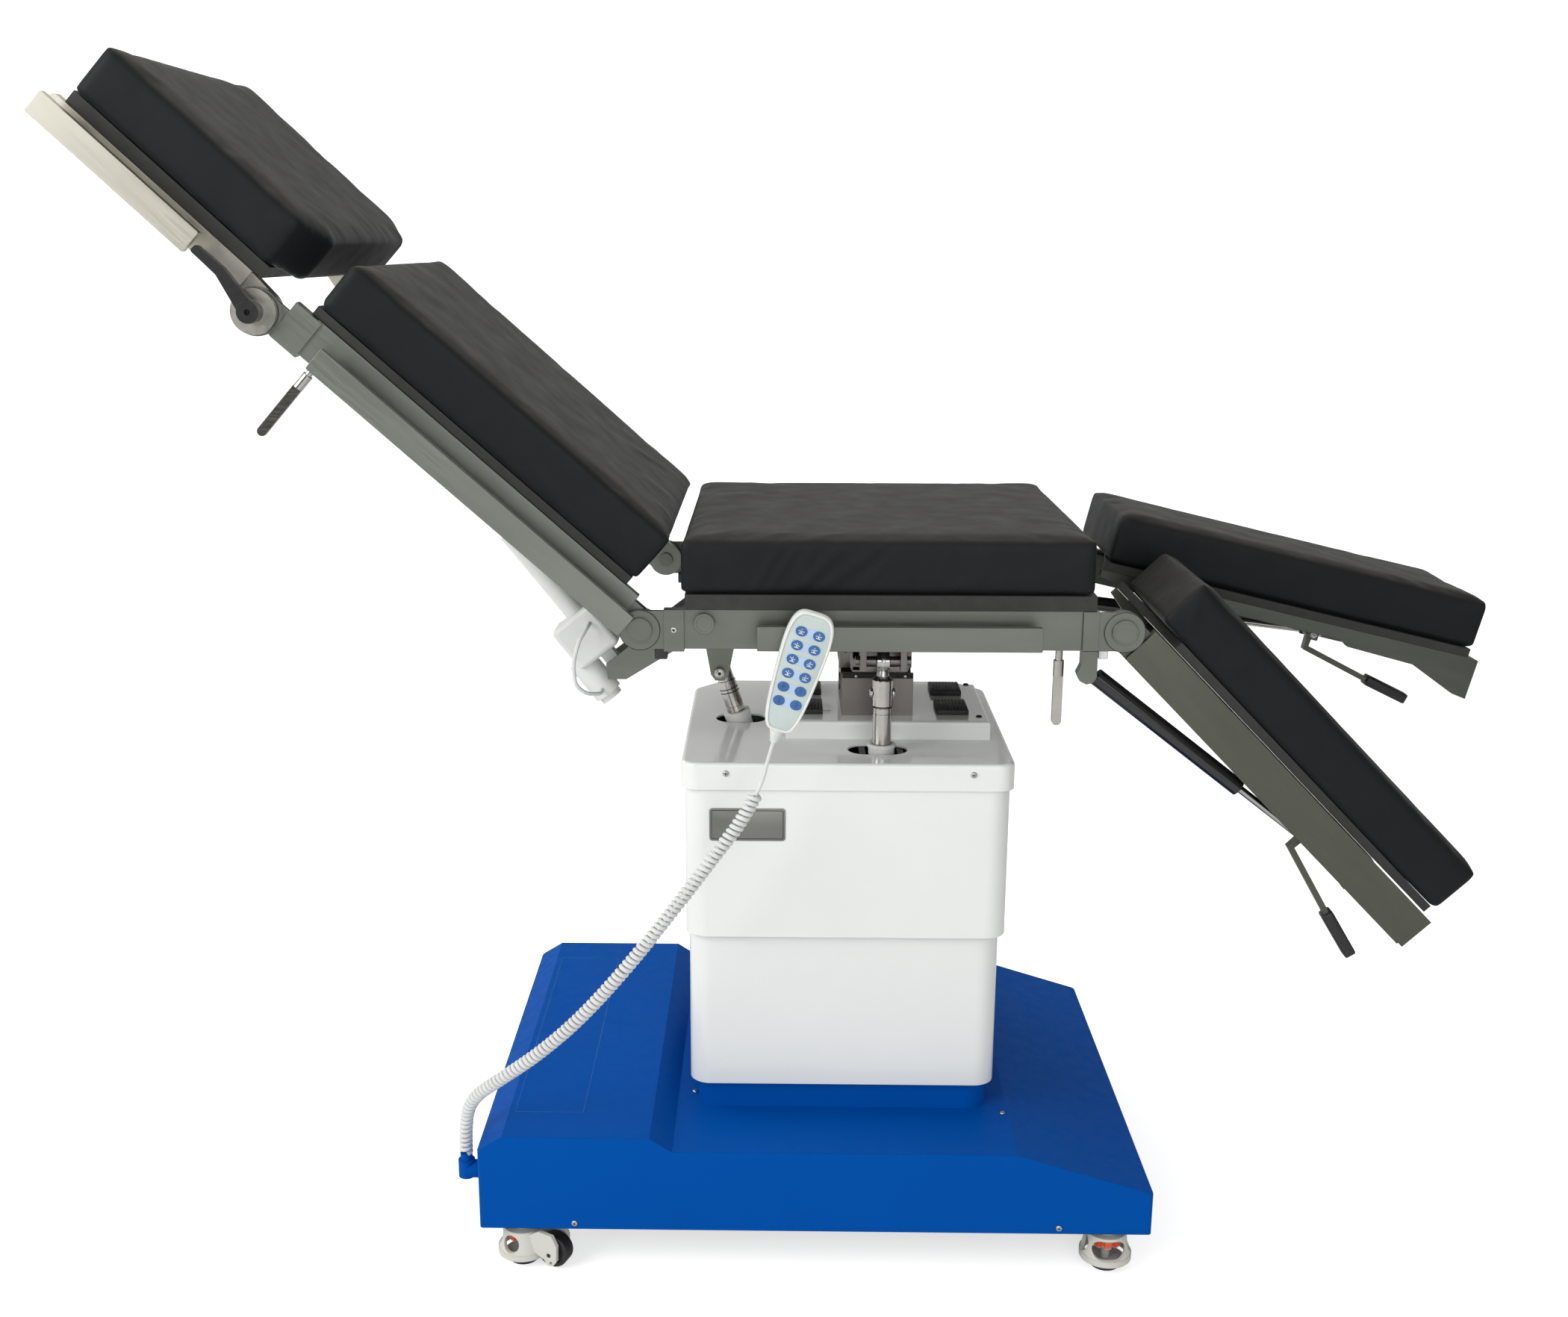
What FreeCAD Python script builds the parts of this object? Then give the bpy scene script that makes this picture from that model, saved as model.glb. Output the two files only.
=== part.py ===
import FreeCAD, Part
import math
import os
from FreeCAD import Placement, Rotation, Vector

os.makedirs("parts", exist_ok=True)

# Electric operating table, millimetres. Origin on the floor under the middle of the base.
# X runs to the leg end, Y to the far side and Z up. Near means the side at -Y, where the handset hangs.

# Mattress pads
PAD_HALF_WIDTH = 260.0
PAD_THICKNESS = 70.0
PAD_CORNER_RADIUS = 7.0
HEAD_PAD_START, HEAD_PAD_END = -15.0, 316.0
BACK_PAD_START, BACK_PAD_END = 47.0, 543.0
SEAT_PAD_START, SEAT_PAD_END = -174.0, 341.0
LEG_PAD_START, LEG_PAD_END = 13.0, 553.0
LEG_PAD_GAP = 40.0
LEG_PAD_BOTTOM = 42.0
SEAT_PAD_BOTTOM = 894.5
SECTION_PAD_BOTTOM = 43.0
HEAD_PAD_BOTTOM = 50.0
PANEL_INSET = 14.0

# Section hinges, all along Y
HINGE_Z = 849.5
BACK_HINGE_X = -221.7
LEG_HINGE_X = 372.4
BACK_ANGLE = 41.6
HEAD_ANGLE = 43.0
NEAR_LEG_ANGLE = 45.5
FAR_LEG_ANGLE = 13.3
HEAD_HINGE_ALONG = 588.0
HEAD_HINGE_ACROSS = -11.0

# Stainless side bars and accessory rails
BAR_INSET = 10.0
BAR_OUTER_Y = PAD_HALF_WIDTH - BAR_INSET
BAR_THICKNESS = 14.0
BAR_HEIGHT = 49.0
SEAT_BAR_BOTTOM = 826.0
RAIL_THICKNESS = 10.0
RAIL_GAP = 25.0
RAIL_OUTER_Y = BAR_OUTER_Y + RAIL_GAP + RAIL_THICKNESS
RAIL_HEIGHT = 30.0
STANDOFF_RADIUS = 9.0
HINGE_DISC_RADIUS = 25.5
HINGE_PIN_RADIUS = 10.0
CLAMP_Y = BAR_THICKNESS / 2 - BAR_OUTER_Y
HINGE_BUTTON_RADIUS = 16.0
RUNNING_CLEARANCE = 0.05
SIDE_CLEARANCE = 0.5
BLOCK_PROUD = 3.0

# Base
BASE_HALF_LENGTH = 437.3
BASE_HALF_WIDTH = 314.0
BASE_BOTTOM = 62.0
BASE_DECK = 174.0
BASE_SHEET = 3.0
BASE_CORNER_RADIUS = 5.0
COLLAR = (-156.2, 233.8, 190.0)
COLLAR_TOP = 226.0

# Telescopic column
LOWER_SLEEVE = (-167.5, 242.0, 199.7, 212.5, 462.0)
UPPER_SLEEVE = (-171.5, 249.0, 209.7, 428.5, 664.9)
SLEEVE_SHEET = 2.0
SLEEVE_CORNER_RADIUS = 28.0
CAP_BOTTOM = 631.6
CAP_TOP = 667.4
CAP_OVERHANG = 4.0
CAP_WALL = 2.5
BACK_CHAMFER = (40.0, 50.0)
DECK_TOP = 692.0
DECK_X = (-41.0, 231.5)
DECK_HALF_WIDTH = 101.0
COLUMN_TUBE_X = 62.0
FIXED_TUBE_SIDE = 122.0
COLUMN_TUBE_WALL = 8.0
TUBE_CLEARANCE = 0.05

# Tilting head
HEAD_BLOCK_X = (34.0, 130.0)
HEAD_BLOCK_HALF_WIDTH = 70.0
HEAD_BLOCK_TOP = 750.0
LATERAL_AXIS_Z = 722.0
YOKE_X = (31.0, 129.0)
YOKE_HALF_WIDTH = 45.0
YOKE_BOTTOM = 752.0
YOKE_TOP = 826.0
TILT_CENTRE_X = 80.0
TREND_AXIS_Z = 790.0
TILT_SHAFT_RADIUS = 12.0

# Tilt actuators
ACTUATOR_TUBE_RADIUS = 17.0
ACTUATOR_ROD_RADIUS = 12.5
ACTUATOR_PIN_RADIUS = 6.0
ACTUATOR_EYE_HALF = 8.0
SIDE_ACTUATOR_X = 84.0
SIDE_ACTUATOR_Y = -148.0
SIDE_ACTUATOR_TOP = (-148.0, 787.0)
END_ACTUATOR_TOP = (-131.0, 745.0)
TRUNNION_Z = CAP_TOP - 27.4
END_TRUNNION_X = -97.4
EAR_SPREAD = 25.0
END_LUG_SPREAD = 40.0
SLOT_HALF_WIDTH = 23.0

# Back actuator
BACK_ACTUATOR_PIVOT = (-262.0, 774.0)
BACK_ACTUATOR_ALONG = 330.0
BACK_ACTUATOR_ACROSS = -22.0
BACK_ACTUATOR_Y = -120.0

# Gas springs
SPRING_TOP = (332.0, 797.0)
SPRING_Y = BAR_OUTER_Y - 26.0
SPRING_END_ALONG = 400.0
SPRING_END_ACROSS = -12.0
SPRING_TUBE_RADIUS = 11.0
SPRING_ROD_RADIUS = 5.0
SPRING_ROD_LENGTH = 269.5
SPRING_ROOM = 1.0
SPRING_RELIEF_TOP = -13.0

# Release levers of the leg sections, in leg coordinates
LEG_LEVER_PIVOT = (378.0, -12.0)
LEG_LEVER_Y = BAR_OUTER_Y - 55.0

# Casters
CASTER_X = BASE_HALF_LENGTH - 52.3
CASTER_Y = BASE_HALF_WIDTH - 32.0
CASTER_TURNS = {"back_near": -21.0, "back_far": -15.0, "foot_near": 90.0, "foot_far": 165.0}
CASTER_RADIUS = 31.0
WHEEL_RADIUS = 22.0
WHEEL_HALF_WIDTH = 10.0
WHEEL_OFFSET = 47.0
WHEEL_LIFT = 1.5
AXLE_RADIUS = 3.0
FOOT_BOTTOM_RADIUS = 19.0
FOOT_TOP_RADIUS = 26.5
SPINDLE_RADIUS = 6.0

# Curly cord and its elbow gland on the base
CORD_GLAND = (-461.0, -262.0, 118.0)
CORD_COIL_RADIUS = 7.2
CORD_LEAD_RADIUS = 2.4

X_AXIS = Vector(1, 0, 0)
Y_AXIS = Vector(0, 1, 0)
Z_AXIS = Vector(0, 0, 1)


def box(x0, x1, y0, y1, z0, z1):
    """Plain block between two corners."""
    return Part.makeBox(x1 - x0, y1 - y0, z1 - z0, Vector(x0, y0, z0))


def rod(radius, start, end):
    """Round bar between two points."""
    a, b = Vector(*start), Vector(*end)
    return Part.makeCylinder(radius, (b - a).Length, a, b - a)


def fuse(shapes):
    """One clean solid from touching pieces."""
    result = shapes[0].multiFuse(shapes[1:]) if len(shapes) > 1 else shapes[0]
    return result.removeSplitter()


def plate_xz(points, y0, y1):
    """Plate with an outline in the XZ plane, between two Y planes."""
    outline = [Vector(x, y0, z) for x, z in points]
    return Part.Face(Part.makePolygon(outline + outline[:1])).extrude(Vector(0, y1 - y0, 0))


def plate_yz(points, x0, x1):
    """Plate with an outline in the YZ plane, between two X planes."""
    outline = [Vector(x0, y, z) for y, z in points]
    return Part.Face(Part.makePolygon(outline + outline[:1])).extrude(Vector(x1 - x0, 0, 0))


def plate_xy(points, z0, z1):
    """Plate with an outline in the XY plane, between two Z planes."""
    outline = [Vector(x, y, z0) for x, y in points]
    return Part.Face(Part.makePolygon(outline + outline[:1])).extrude(Vector(0, 0, z1 - z0))


def fillet_edges(shape, radius, chosen):
    """Round the edges that a test picks out."""
    edges = [edge for edge in shape.Edges if chosen(edge)]
    return shape.makeFillet(radius, edges)


def along_axis(edge, axis):
    """True for a straight edge that runs along an axis."""
    if not isinstance(edge.Curve, Part.Line):
        return False
    return abs(abs(edge.tangentAt(edge.FirstParameter).dot(axis)) - 1) < 1e-6


def rounded_block(x0, x1, y0, y1, z0, z1, radius):
    """Block with its upright edges rounded."""
    return fillet_edges(box(x0, x1, y0, y1, z0, z1), radius, lambda e: along_axis(e, Z_AXIS))


def slot(x0, x1, y, half_width, z0, z1):
    """Upright through-cutter with round ends, long in X."""
    middle = box(x0 + half_width, x1 - half_width, y - half_width, y + half_width, z0, z1)
    ends = [rod(half_width, (x, y, z0), (x, y, z1)) for x in (x0 + half_width, x1 - half_width)]
    return fuse([middle] + ends)


def turned(shape, angle, x, z):
    """Section modelled flat about its own hinge, turned by its rest angle and set at the hinge."""
    result = shape.copy()
    result.Placement = Placement(Vector(x, 0, z), Rotation(Y_AXIS, angle)) * result.Placement
    return result


def point_turned(along, across, angle, x, z):
    """World X and Z of a section's own point."""
    c, s = math.cos(math.radians(angle)), math.sin(math.radians(angle))
    return x + along * c + across * s, z - along * s + across * c


def mirrored(shape):
    """The same piece on the far side."""
    return shape.mirror(Vector(0, 0, 0), Y_AXIS)


def both_sides(shape):
    """A near piece and its mirror image, which don't touch, as one node."""
    return Part.makeCompound([shape, mirrored(shape)])


def save(name, shape):
    """Write one sub-part."""
    if not shape.isValid() or shape.Volume <= 0:
        raise ValueError(name + " is not a sound solid")
    shape.exportStep("parts/" + name + ".step")
    size = shape.BoundBox
    print(name, len(shape.Solids), round(shape.Volume / 1000), "cm3",
          [round(v) for v in (size.XMin, size.XMax, size.YMin, size.YMax, size.ZMin, size.ZMax)])


# Base cover with its collar and cord gland
def cover_outline(inset):
    """Side outline of the folded cover, or of its inside."""
    half = BASE_HALF_LENGTH - inset
    return [(-half, BASE_BOTTOM), (-half, 173 - inset), (-405, 193 - inset), (-214, 193 - inset),
            (-185, BASE_DECK - inset), (261, BASE_DECK - inset), (half, 120 - inset), (half, BASE_BOTTOM)]


def base_cover():
    shell = plate_xz(cover_outline(0), -BASE_HALF_WIDTH, BASE_HALF_WIDTH)
    shell = fillet_edges(shell, BASE_CORNER_RADIUS,
                         lambda e: along_axis(e, Z_AXIS) and abs(e.BoundBox.XMin) > BASE_HALF_LENGTH - 1)
    inner_half = BASE_HALF_WIDTH - BASE_SHEET
    inside = plate_xz(cover_outline(BASE_SHEET), -inner_half, inner_half)
    collar = column_outline(COLLAR, 0, BASE_DECK - BASE_SHEET, COLLAR_TOP, SLEEVE_CORNER_RADIUS)
    collar_inside = column_outline(COLLAR, BASE_SHEET, BASE_DECK - 10, COLLAR_TOP + 5,
                                   SLEEVE_CORNER_RADIUS - BASE_SHEET)
    cover = fuse([shell, collar]).cut(inside).cut(collar_inside)
    gx, gy, gz = CORD_GLAND
    gland = fuse([rod(12, (-BASE_HALF_LENGTH + 0.5, gy, gz), (gx, gy, gz)),
                  rod(11, (gx, gy, gz - 10), (gx, gy, gz + 14)),
                  rod(8, (gx, gy, gz + 13), (gx, gy, gz + 24))])
    return fuse([cover, gland])


def base_frame():
    """Welded chassis: two channels, floor pan, cross members, caster plates and the fixed column tube."""
    reach = BASE_HALF_LENGTH - 12.3
    channel_y = BASE_HALF_WIDTH - 99
    pan_y = channel_y - 24.5
    pieces = [box(-reach, reach, -pan_y, pan_y, 64, 67)]
    for y in (-channel_y, channel_y):
        pieces.append(box(-reach, reach, y - 25, y + 25, 64, 70))
        for web in (y - 25, y + 20):
            pieces.append(box(-reach, reach, web, web + 5, 69.5, 104))
        for x in (-150, 220):
            pieces.append(box(x - 14, x + 14, y - 10, y + 10, 69.5, BASE_DECK - BASE_SHEET))
        start, end = sorted((math.copysign(channel_y + 20, y), math.copysign(CASTER_Y + 26, y)))
        for x in (-CASTER_X, CASTER_X):
            pieces.append(box(x - 36, x + 36, start, end, 64, 72))
    for x in (-120, 200):
        pieces.append(box(x - 20, x + 20, -pan_y, pan_y, 66, 100))
    half = FIXED_TUBE_SIDE / 2
    inner = half - COLUMN_TUBE_WALL
    x = COLUMN_TUBE_X
    foot = box(x - half - 30, x + half + 30, -half - 30, half + 30, 64, 76)
    post = rounded_block(x - half, x + half, -half, half, 75, 410, 14)
    hollow = rounded_block(x - inner, x + inner, -inner, inner, 80, 420, 8)
    return fuse(pieces + [foot, post]).cut(hollow)


# Levelling casters, each modelled with its fork towards X and then turned about its spindle
def caster_positions():
    return {"back_near": (-CASTER_X, -CASTER_Y), "back_far": (-CASTER_X, CASTER_Y),
            "foot_near": (CASTER_X, -CASTER_Y), "foot_far": (CASTER_X, CASTER_Y)}


def set_caster(shape, name):
    x, y = caster_positions()[name]
    result = shape.copy()
    result.Placement = Placement(Vector(x, y, 0), Rotation(Z_AXIS, CASTER_TURNS[name])) * result.Placement
    return result


def caster_housing():
    """Cast dome with a wide window at the nose, a round one on each side and a fork for the wheel."""
    axle_z = WHEEL_RADIUS + WHEEL_LIFT
    dome = Part.makeCone(CASTER_RADIUS + 2, CASTER_RADIUS - 5, 30, Vector(0, 0, 20), Z_AXIS)
    rim = Part.makeCylinder(CASTER_RADIUS + 3, 8, Vector(0, 0, 13), Z_AXIS)
    neck = Part.makeCylinder(15, 14.5, Vector(0, 0, 49.5), Z_AXIS)
    outline = [(18, 47), (32, 55), (52, 52), (59, 38), (58, 16), (53, 9), (45, 9), (40, 16), (22, 26)]
    arm_y = WHEEL_HALF_WIDTH + 6
    arms = [plate_xz(outline, side - 3, side + 3) for side in (-arm_y, arm_y)]
    body = fuse([dome, rim, neck] + arms)
    hollow = Part.makeCone(CASTER_RADIUS - 2, CASTER_RADIUS - 9, 34, Vector(0, 0, 12), Z_AXIS)
    nose = fuse([rod(12.5, (-60, y, 34), (0, y, 34)) for y in (-9, 9)] + [box(-60, 0, -9, 9, 21.5, 46.5)])
    spindle_bore = Part.makeCylinder(SPINDLE_RADIUS + RUNNING_CLEARANCE, 30, Vector(0, 0, 40), Z_AXIS)
    cutters = [hollow, nose, spindle_bore,
               rod(11.5, (-3, -60, 34), (-3, 60, 34)),
               rod(AXLE_RADIUS, (WHEEL_OFFSET, -25, axle_z), (WHEEL_OFFSET, 25, axle_z)),
               rod(2, (50, -25, 13), (50, 25, 13)),
               rod(WHEEL_RADIUS + 3, (WHEEL_OFFSET, -arm_y + 3, axle_z), (WHEEL_OFFSET, arm_y - 3, axle_z))]
    for cutter in cutters:
        body = body.cut(cutter)
    return body


def caster_wheel():
    """Nylon wheel with a recessed web and its axle."""
    x, z = WHEEL_OFFSET, WHEEL_RADIUS + WHEEL_LIFT
    half = WHEEL_HALF_WIDTH
    wheel = rod(WHEEL_RADIUS, (x, -half, z), (x, half, z))
    wheel = wheel.makeFillet(2.5, [e for e in wheel.Edges if isinstance(e.Curve, Part.Circle)])
    for side in (-1, 1):
        ring = rod(WHEEL_RADIUS - 6, (x, side * (half - 3), z), (x, side * (half + 1), z))
        hub = rod(7, (x, side * (half - 4), z), (x, side * (half + 1.5), z))
        wheel = wheel.cut(ring.cut(hub))
    reach = half + 9
    axle = rod(AXLE_RADIUS - RUNNING_CLEARANCE, (x, -reach, z), (x, reach, z))
    return fuse([wheel, axle])


def levelling_foot(x, y):
    """Rubber pad, screw spindle and the toothed adjuster wheel."""
    pad = Part.makeCone(FOOT_BOTTOM_RADIUS, FOOT_TOP_RADIUS, 10, Vector(x, y, 0), Z_AXIS)
    spindle = Part.makeCylinder(SPINDLE_RADIUS, 44, Vector(x, y, 9), Z_AXIS)
    teeth = 8
    star = []
    for k in range(teeth):
        for radius, shift in ((15.5, -0.28), (20.0, -0.21), (20.0, 0.21), (15.5, 0.28)):
            turn = 2 * math.pi * k / teeth + shift
            star.append((x + radius * math.cos(turn), y + radius * math.sin(turn)))
    return fuse([pad, spindle, plate_xy(star, 32, 41)])


# Column
def column_outline(limits, inset, z0, z1, radius):
    """Upright block with the column's plan: square in front, two back corners cut off, all edges rounded."""
    x0, x1, half = limits[0] + inset, limits[1] - inset, limits[2] - inset
    cut_x, cut_y = BACK_CHAMFER
    block = plate_xy([(x0, -half), (x1, -half), (x1, half - cut_y), (x1 - cut_x, half), (x0 + cut_x, half),
                      (x0, half - cut_y)], z0, z1)
    return fillet_edges(block, radius, lambda e: along_axis(e, Z_AXIS))


def sleeve(limits):
    """Rounded sheet sleeve, open above and below."""
    z0, z1 = limits[3], limits[4]
    outer = column_outline(limits, 0, z0, z1, SLEEVE_CORNER_RADIUS)
    inner = column_outline(limits, SLEEVE_SHEET, z0 - 1, z1 + 1, SLEEVE_CORNER_RADIUS - SLEEVE_SHEET)
    return outer.cut(inner)


def lower_sleeve():
    """Lower sleeve with the four guide strips that run inside the upper one."""
    x0, x1, half, _, top = LOWER_SLEEVE
    strips = [(UPPER_SLEEVE[0] + SLEEVE_SHEET + RUNNING_CLEARANCE, x0 + 0.5, -60, 60),
              (x1 - 0.5, UPPER_SLEEVE[1] - SLEEVE_SHEET - RUNNING_CLEARANCE, -60, 60)]
    reach = UPPER_SLEEVE[2] - SLEEVE_SHEET - RUNNING_CLEARANCE
    strips += [(-40, 120, -reach, 0.5 - half), (-40, 120, half - 0.5, reach)]
    return fuse([sleeve(LOWER_SLEEVE)] + [box(*strip, top - 22, top - 4) for strip in strips])


def column_cap():
    """White pressed cap with chamfered back corners, a raised deck and two actuator slots."""
    wall = CAP_WALL
    outer = column_outline(UPPER_SLEEVE, -CAP_OVERHANG, CAP_BOTTOM, CAP_TOP, 22)
    outer = outer.makeFillet(5, [e for e in outer.Edges if abs(e.BoundBox.ZMin - CAP_TOP) < 0.01])
    inner = column_outline(UPPER_SLEEVE, wall - CAP_OVERHANG, CAP_BOTTOM - 1, CAP_TOP - wall, 20)
    deck = box(DECK_X[0], DECK_X[1], -DECK_HALF_WIDTH, DECK_HALF_WIDTH, CAP_TOP - wall, DECK_TOP)
    deck = fillet_edges(deck, 4, lambda e: e.BoundBox.ZMin > DECK_TOP - 0.01)
    deck_room = box(DECK_X[0] + wall, DECK_X[1] - wall, wall - DECK_HALF_WIDTH, DECK_HALF_WIDTH - wall,
                    CAP_TOP - 2 * wall, DECK_TOP - wall)
    front_slot = slot(40, 118, SIDE_ACTUATOR_Y, SLOT_HALF_WIDTH, CAP_TOP - 20, CAP_TOP + 5)
    end_slot = slot(-138, -68, 0, SLOT_HALF_WIDTH, CAP_TOP - 20, CAP_TOP + 5)
    cap = fuse([outer, deck]).cut(inner).cut(deck_room).cut(front_slot).cut(end_slot)
    for x in (-12, 12):
        cap = cap.cut(slot(x - 9, x + 9, -48, 3, DECK_TOP - 10, DECK_TOP + 5))
    return cap


def moving_column():
    """Moving column tube over the fixed one, its top plate, the head's pedestal and the trunnion ears."""
    inner = FIXED_TUBE_SIDE / 2 + TUBE_CLEARANCE
    half = inner + COLUMN_TUBE_WALL
    x = COLUMN_TUBE_X
    plate_bottom, plate_top = CAP_TOP - CAP_WALL - 14, CAP_TOP - CAP_WALL - 0.4
    tube = rounded_block(x - half, x + half, -half, half, 315, plate_bottom + 1, 12)
    hollow = rounded_block(x - inner, x + inner, -inner, inner, 305, plate_bottom - 4, 6)
    top = box(x - half - 10, x + half + 40, -half - 20, half + 20, plate_bottom, plate_top)
    pedestal = box(HEAD_BLOCK_X[0], HEAD_BLOCK_X[1], -60, 60, plate_top - 1, DECK_TOP - CAP_WALL)
    pieces = [tube, top, pedestal]
    z = TRUNNION_Z
    for ear in (-EAR_SPREAD, EAR_SPREAD):
        pieces.append(box(SIDE_ACTUATOR_X + ear - 4, SIDE_ACTUATOR_X + ear + 4, SIDE_ACTUATOR_Y - 14, 0.5 - half,
                          z - 12, plate_top))
        pieces.append(box(END_TRUNNION_X - 14, x - half + 0.5, ear - 4, ear + 4, z - 12, plate_top))
    y = SIDE_ACTUATOR_Y
    bores = [rod(ACTUATOR_PIN_RADIUS, (SIDE_ACTUATOR_X - 40, y, z), (SIDE_ACTUATOR_X + 40, y, z)),
             rod(ACTUATOR_PIN_RADIUS, (END_TRUNNION_X, -40, z), (END_TRUNNION_X, 40, z))]
    return fuse(pieces).cut(hollow).cut(bores[0]).cut(bores[1])


def head_block():
    """Open stainless box whose end cheeks carry the lateral tilt shaft."""
    x0, x1 = HEAD_BLOCK_X
    half = HEAD_BLOCK_HALF_WIDTH
    cheek = [(-half, DECK_TOP), (half, DECK_TOP), (half, HEAD_BLOCK_TOP), (half - 8, HEAD_BLOCK_TOP),
             (half - 8, 730), (8 - half, 730), (8 - half, HEAD_BLOCK_TOP), (-half, HEAD_BLOCK_TOP)]
    pieces = []
    for a, b in ((x0, x0 + 14), (x1 - 14, x1)):
        pieces.append(plate_yz(cheek, a, b))
        pieces.append(rod(28, (a, 0, LATERAL_AXIS_Z), (b, 0, LATERAL_AXIS_Z)))
    for y in (-half, half - 8):
        pieces.append(box(x0, x1, y, y + 8, DECK_TOP, HEAD_BLOCK_TOP))
    bore = rod(TILT_SHAFT_RADIUS, (x0 - 5, 0, LATERAL_AXIS_Z), (x1 + 5, 0, LATERAL_AXIS_Z))
    return fuse(pieces).cut(bore)


def tilt_yoke():
    """Cardan yoke: a hub on the lateral shaft below, cheeks for the cross shaft above, and the side arm."""
    x0, x1 = YOKE_X
    half = YOKE_HALF_WIDTH
    side = [(x0, YOKE_BOTTOM), (x1, YOKE_BOTTOM), (x1, YOKE_TOP - 24), (x1 - 22, YOKE_TOP),
            (x0 + 22, YOKE_TOP), (x0, YOKE_TOP - 24)]
    pieces = [plate_xz(side, -half, -half + 10), plate_xz(side, half - 10, half)]
    pieces.append(box(x0, x1, -half, half, YOKE_BOTTOM, YOKE_BOTTOM + 8))
    hub_x = (HEAD_BLOCK_X[0] + 14 + SIDE_CLEARANCE, HEAD_BLOCK_X[1] - 14 - SIDE_CLEARANCE)
    pieces.append(box(hub_x[0], hub_x[1], -18, 18, LATERAL_AXIS_Z, YOKE_BOTTOM + 1))
    pieces.append(rod(20, (hub_x[0], 0, LATERAL_AXIS_Z), (hub_x[1], 0, LATERAL_AXIS_Z)))
    shaft = TILT_SHAFT_RADIUS - RUNNING_CLEARANCE
    pieces.append(rod(shaft, (x0 + 1, 0, LATERAL_AXIS_Z), (x1, 0, LATERAL_AXIS_Z)))
    y, z = SIDE_ACTUATOR_TOP
    for side in (-1, 1):
        near, far = sorted((SIDE_ACTUATOR_X + side * 22, SIDE_ACTUATOR_X + side * 30))
        pieces.append(box(near, far, y - 14, 1 - half, z - 11, z + 16))
        pieces.append(rod(ACTUATOR_PIN_RADIUS, (SIDE_ACTUATOR_X + side * (ACTUATOR_EYE_HALF + 1), y, z),
                          (SIDE_ACTUATOR_X + side * 36, y, z)))
    pieces.append(box(SIDE_ACTUATOR_X - 30, SIDE_ACTUATOR_X + 30, -72, -64, z - 11, z + 16))
    yoke = fuse(pieces)
    shaft_bore = rod(TILT_SHAFT_RADIUS, (TILT_CENTRE_X, -60, TREND_AXIS_Z), (TILT_CENTRE_X, 60, TREND_AXIS_Z))
    return yoke.cut(shaft_bore)


def actuator(length, tube_top):
    """Tube and rod along Z with the trunnion at the origin and both pivots along X."""
    tube = rod(ACTUATOR_TUBE_RADIUS, (0, 0, -140), (0, 0, tube_top))
    trunnion = rod(ACTUATOR_PIN_RADIUS - RUNNING_CLEARANCE, (-EAR_SPREAD - 4, 0, 0), (EAR_SPREAD + 4, 0, 0))
    bore = rod(ACTUATOR_ROD_RADIUS + RUNNING_CLEARANCE, (0, 0, -134), (0, 0, tube_top + 10))
    body = fuse([tube, trunnion]).cut(bore)
    shaft = rod(ACTUATOR_ROD_RADIUS, (0, 0, -75), (0, 0, length - 24))
    for z in (length - 62, length - 70):
        core = rod(ACTUATOR_ROD_RADIUS - 0.8, (0, 0, z), (0, 0, z + 1.2))
        groove = rod(20, (0, 0, z), (0, 0, z + 1.2)).cut(core)
        shaft = shaft.cut(groove)
    stem = rod(7, (0, 0, length - 25), (0, 0, length - 8))
    ring = rod(12, (-ACTUATOR_EYE_HALF, 0, length), (ACTUATOR_EYE_HALF, 0, length))
    ring_bore = rod(ACTUATOR_PIN_RADIUS + 0.5, (-20, 0, length), (20, 0, length))
    return body, fuse([shaft, stem, ring]).cut(ring_bore)


def side_actuator():
    """Actuator of the lateral tilt, upright in front of the column tube."""
    y, z = SIDE_ACTUATOR_TOP
    pair = actuator(z - TRUNNION_Z, CAP_TOP + 5 - TRUNNION_Z)
    for piece in pair:
        piece.translate(Vector(SIDE_ACTUATOR_X, y, TRUNNION_Z))
    return pair


def end_actuator():
    """Actuator of the head and foot tilt, leaning out through the slot at the head end."""
    rise, reach = END_ACTUATOR_TOP[1] - TRUNNION_Z, END_ACTUATOR_TOP[0] - END_TRUNNION_X
    lean = math.atan2(reach, rise)
    pair = actuator(math.hypot(reach, rise), (CAP_TOP + 9 - TRUNNION_Z) / math.cos(lean))
    for piece in pair:
        piece.rotate(Vector(0, 0, 0), Z_AXIS, 90)
        piece.rotate(Vector(0, 0, 0), Y_AXIS, math.degrees(lean))
        piece.translate(Vector(END_TRUNNION_X, 0, TRUNNION_Z))
    return pair


# Sections of the table top
def side_bar(x0, x1, z0, z1):
    """Near side bar of a section."""
    return box(x0, x1, -BAR_OUTER_Y, -BAR_OUTER_Y + BAR_THICKNESS, z0, z1)


def rail(x0, x1, z0, standoffs):
    """Near accessory rail with the round stand-offs that hold it off the bar."""
    outer = -RAIL_OUTER_Y
    bar = box(x0, x1, outer, outer + RAIL_THICKNESS, z0, z0 + RAIL_HEIGHT)
    bar = fillet_edges(bar, 2, lambda e: along_axis(e, Y_AXIS))
    middle = z0 + RAIL_HEIGHT / 2
    studs = [rod(STANDOFF_RADIUS, (x, outer + RAIL_THICKNESS - 0.5, middle), (x, -BAR_OUTER_Y, middle))
             for x in standoffs]
    return fuse([bar] + studs)


def pad(x0, x1, y0, y1, z0):
    """Plain foam pad."""
    block = box(x0, x1, y0, y1, z0, z0 + PAD_THICKNESS)
    return block.makeFillet(PAD_CORNER_RADIUS, block.Edges)


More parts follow.
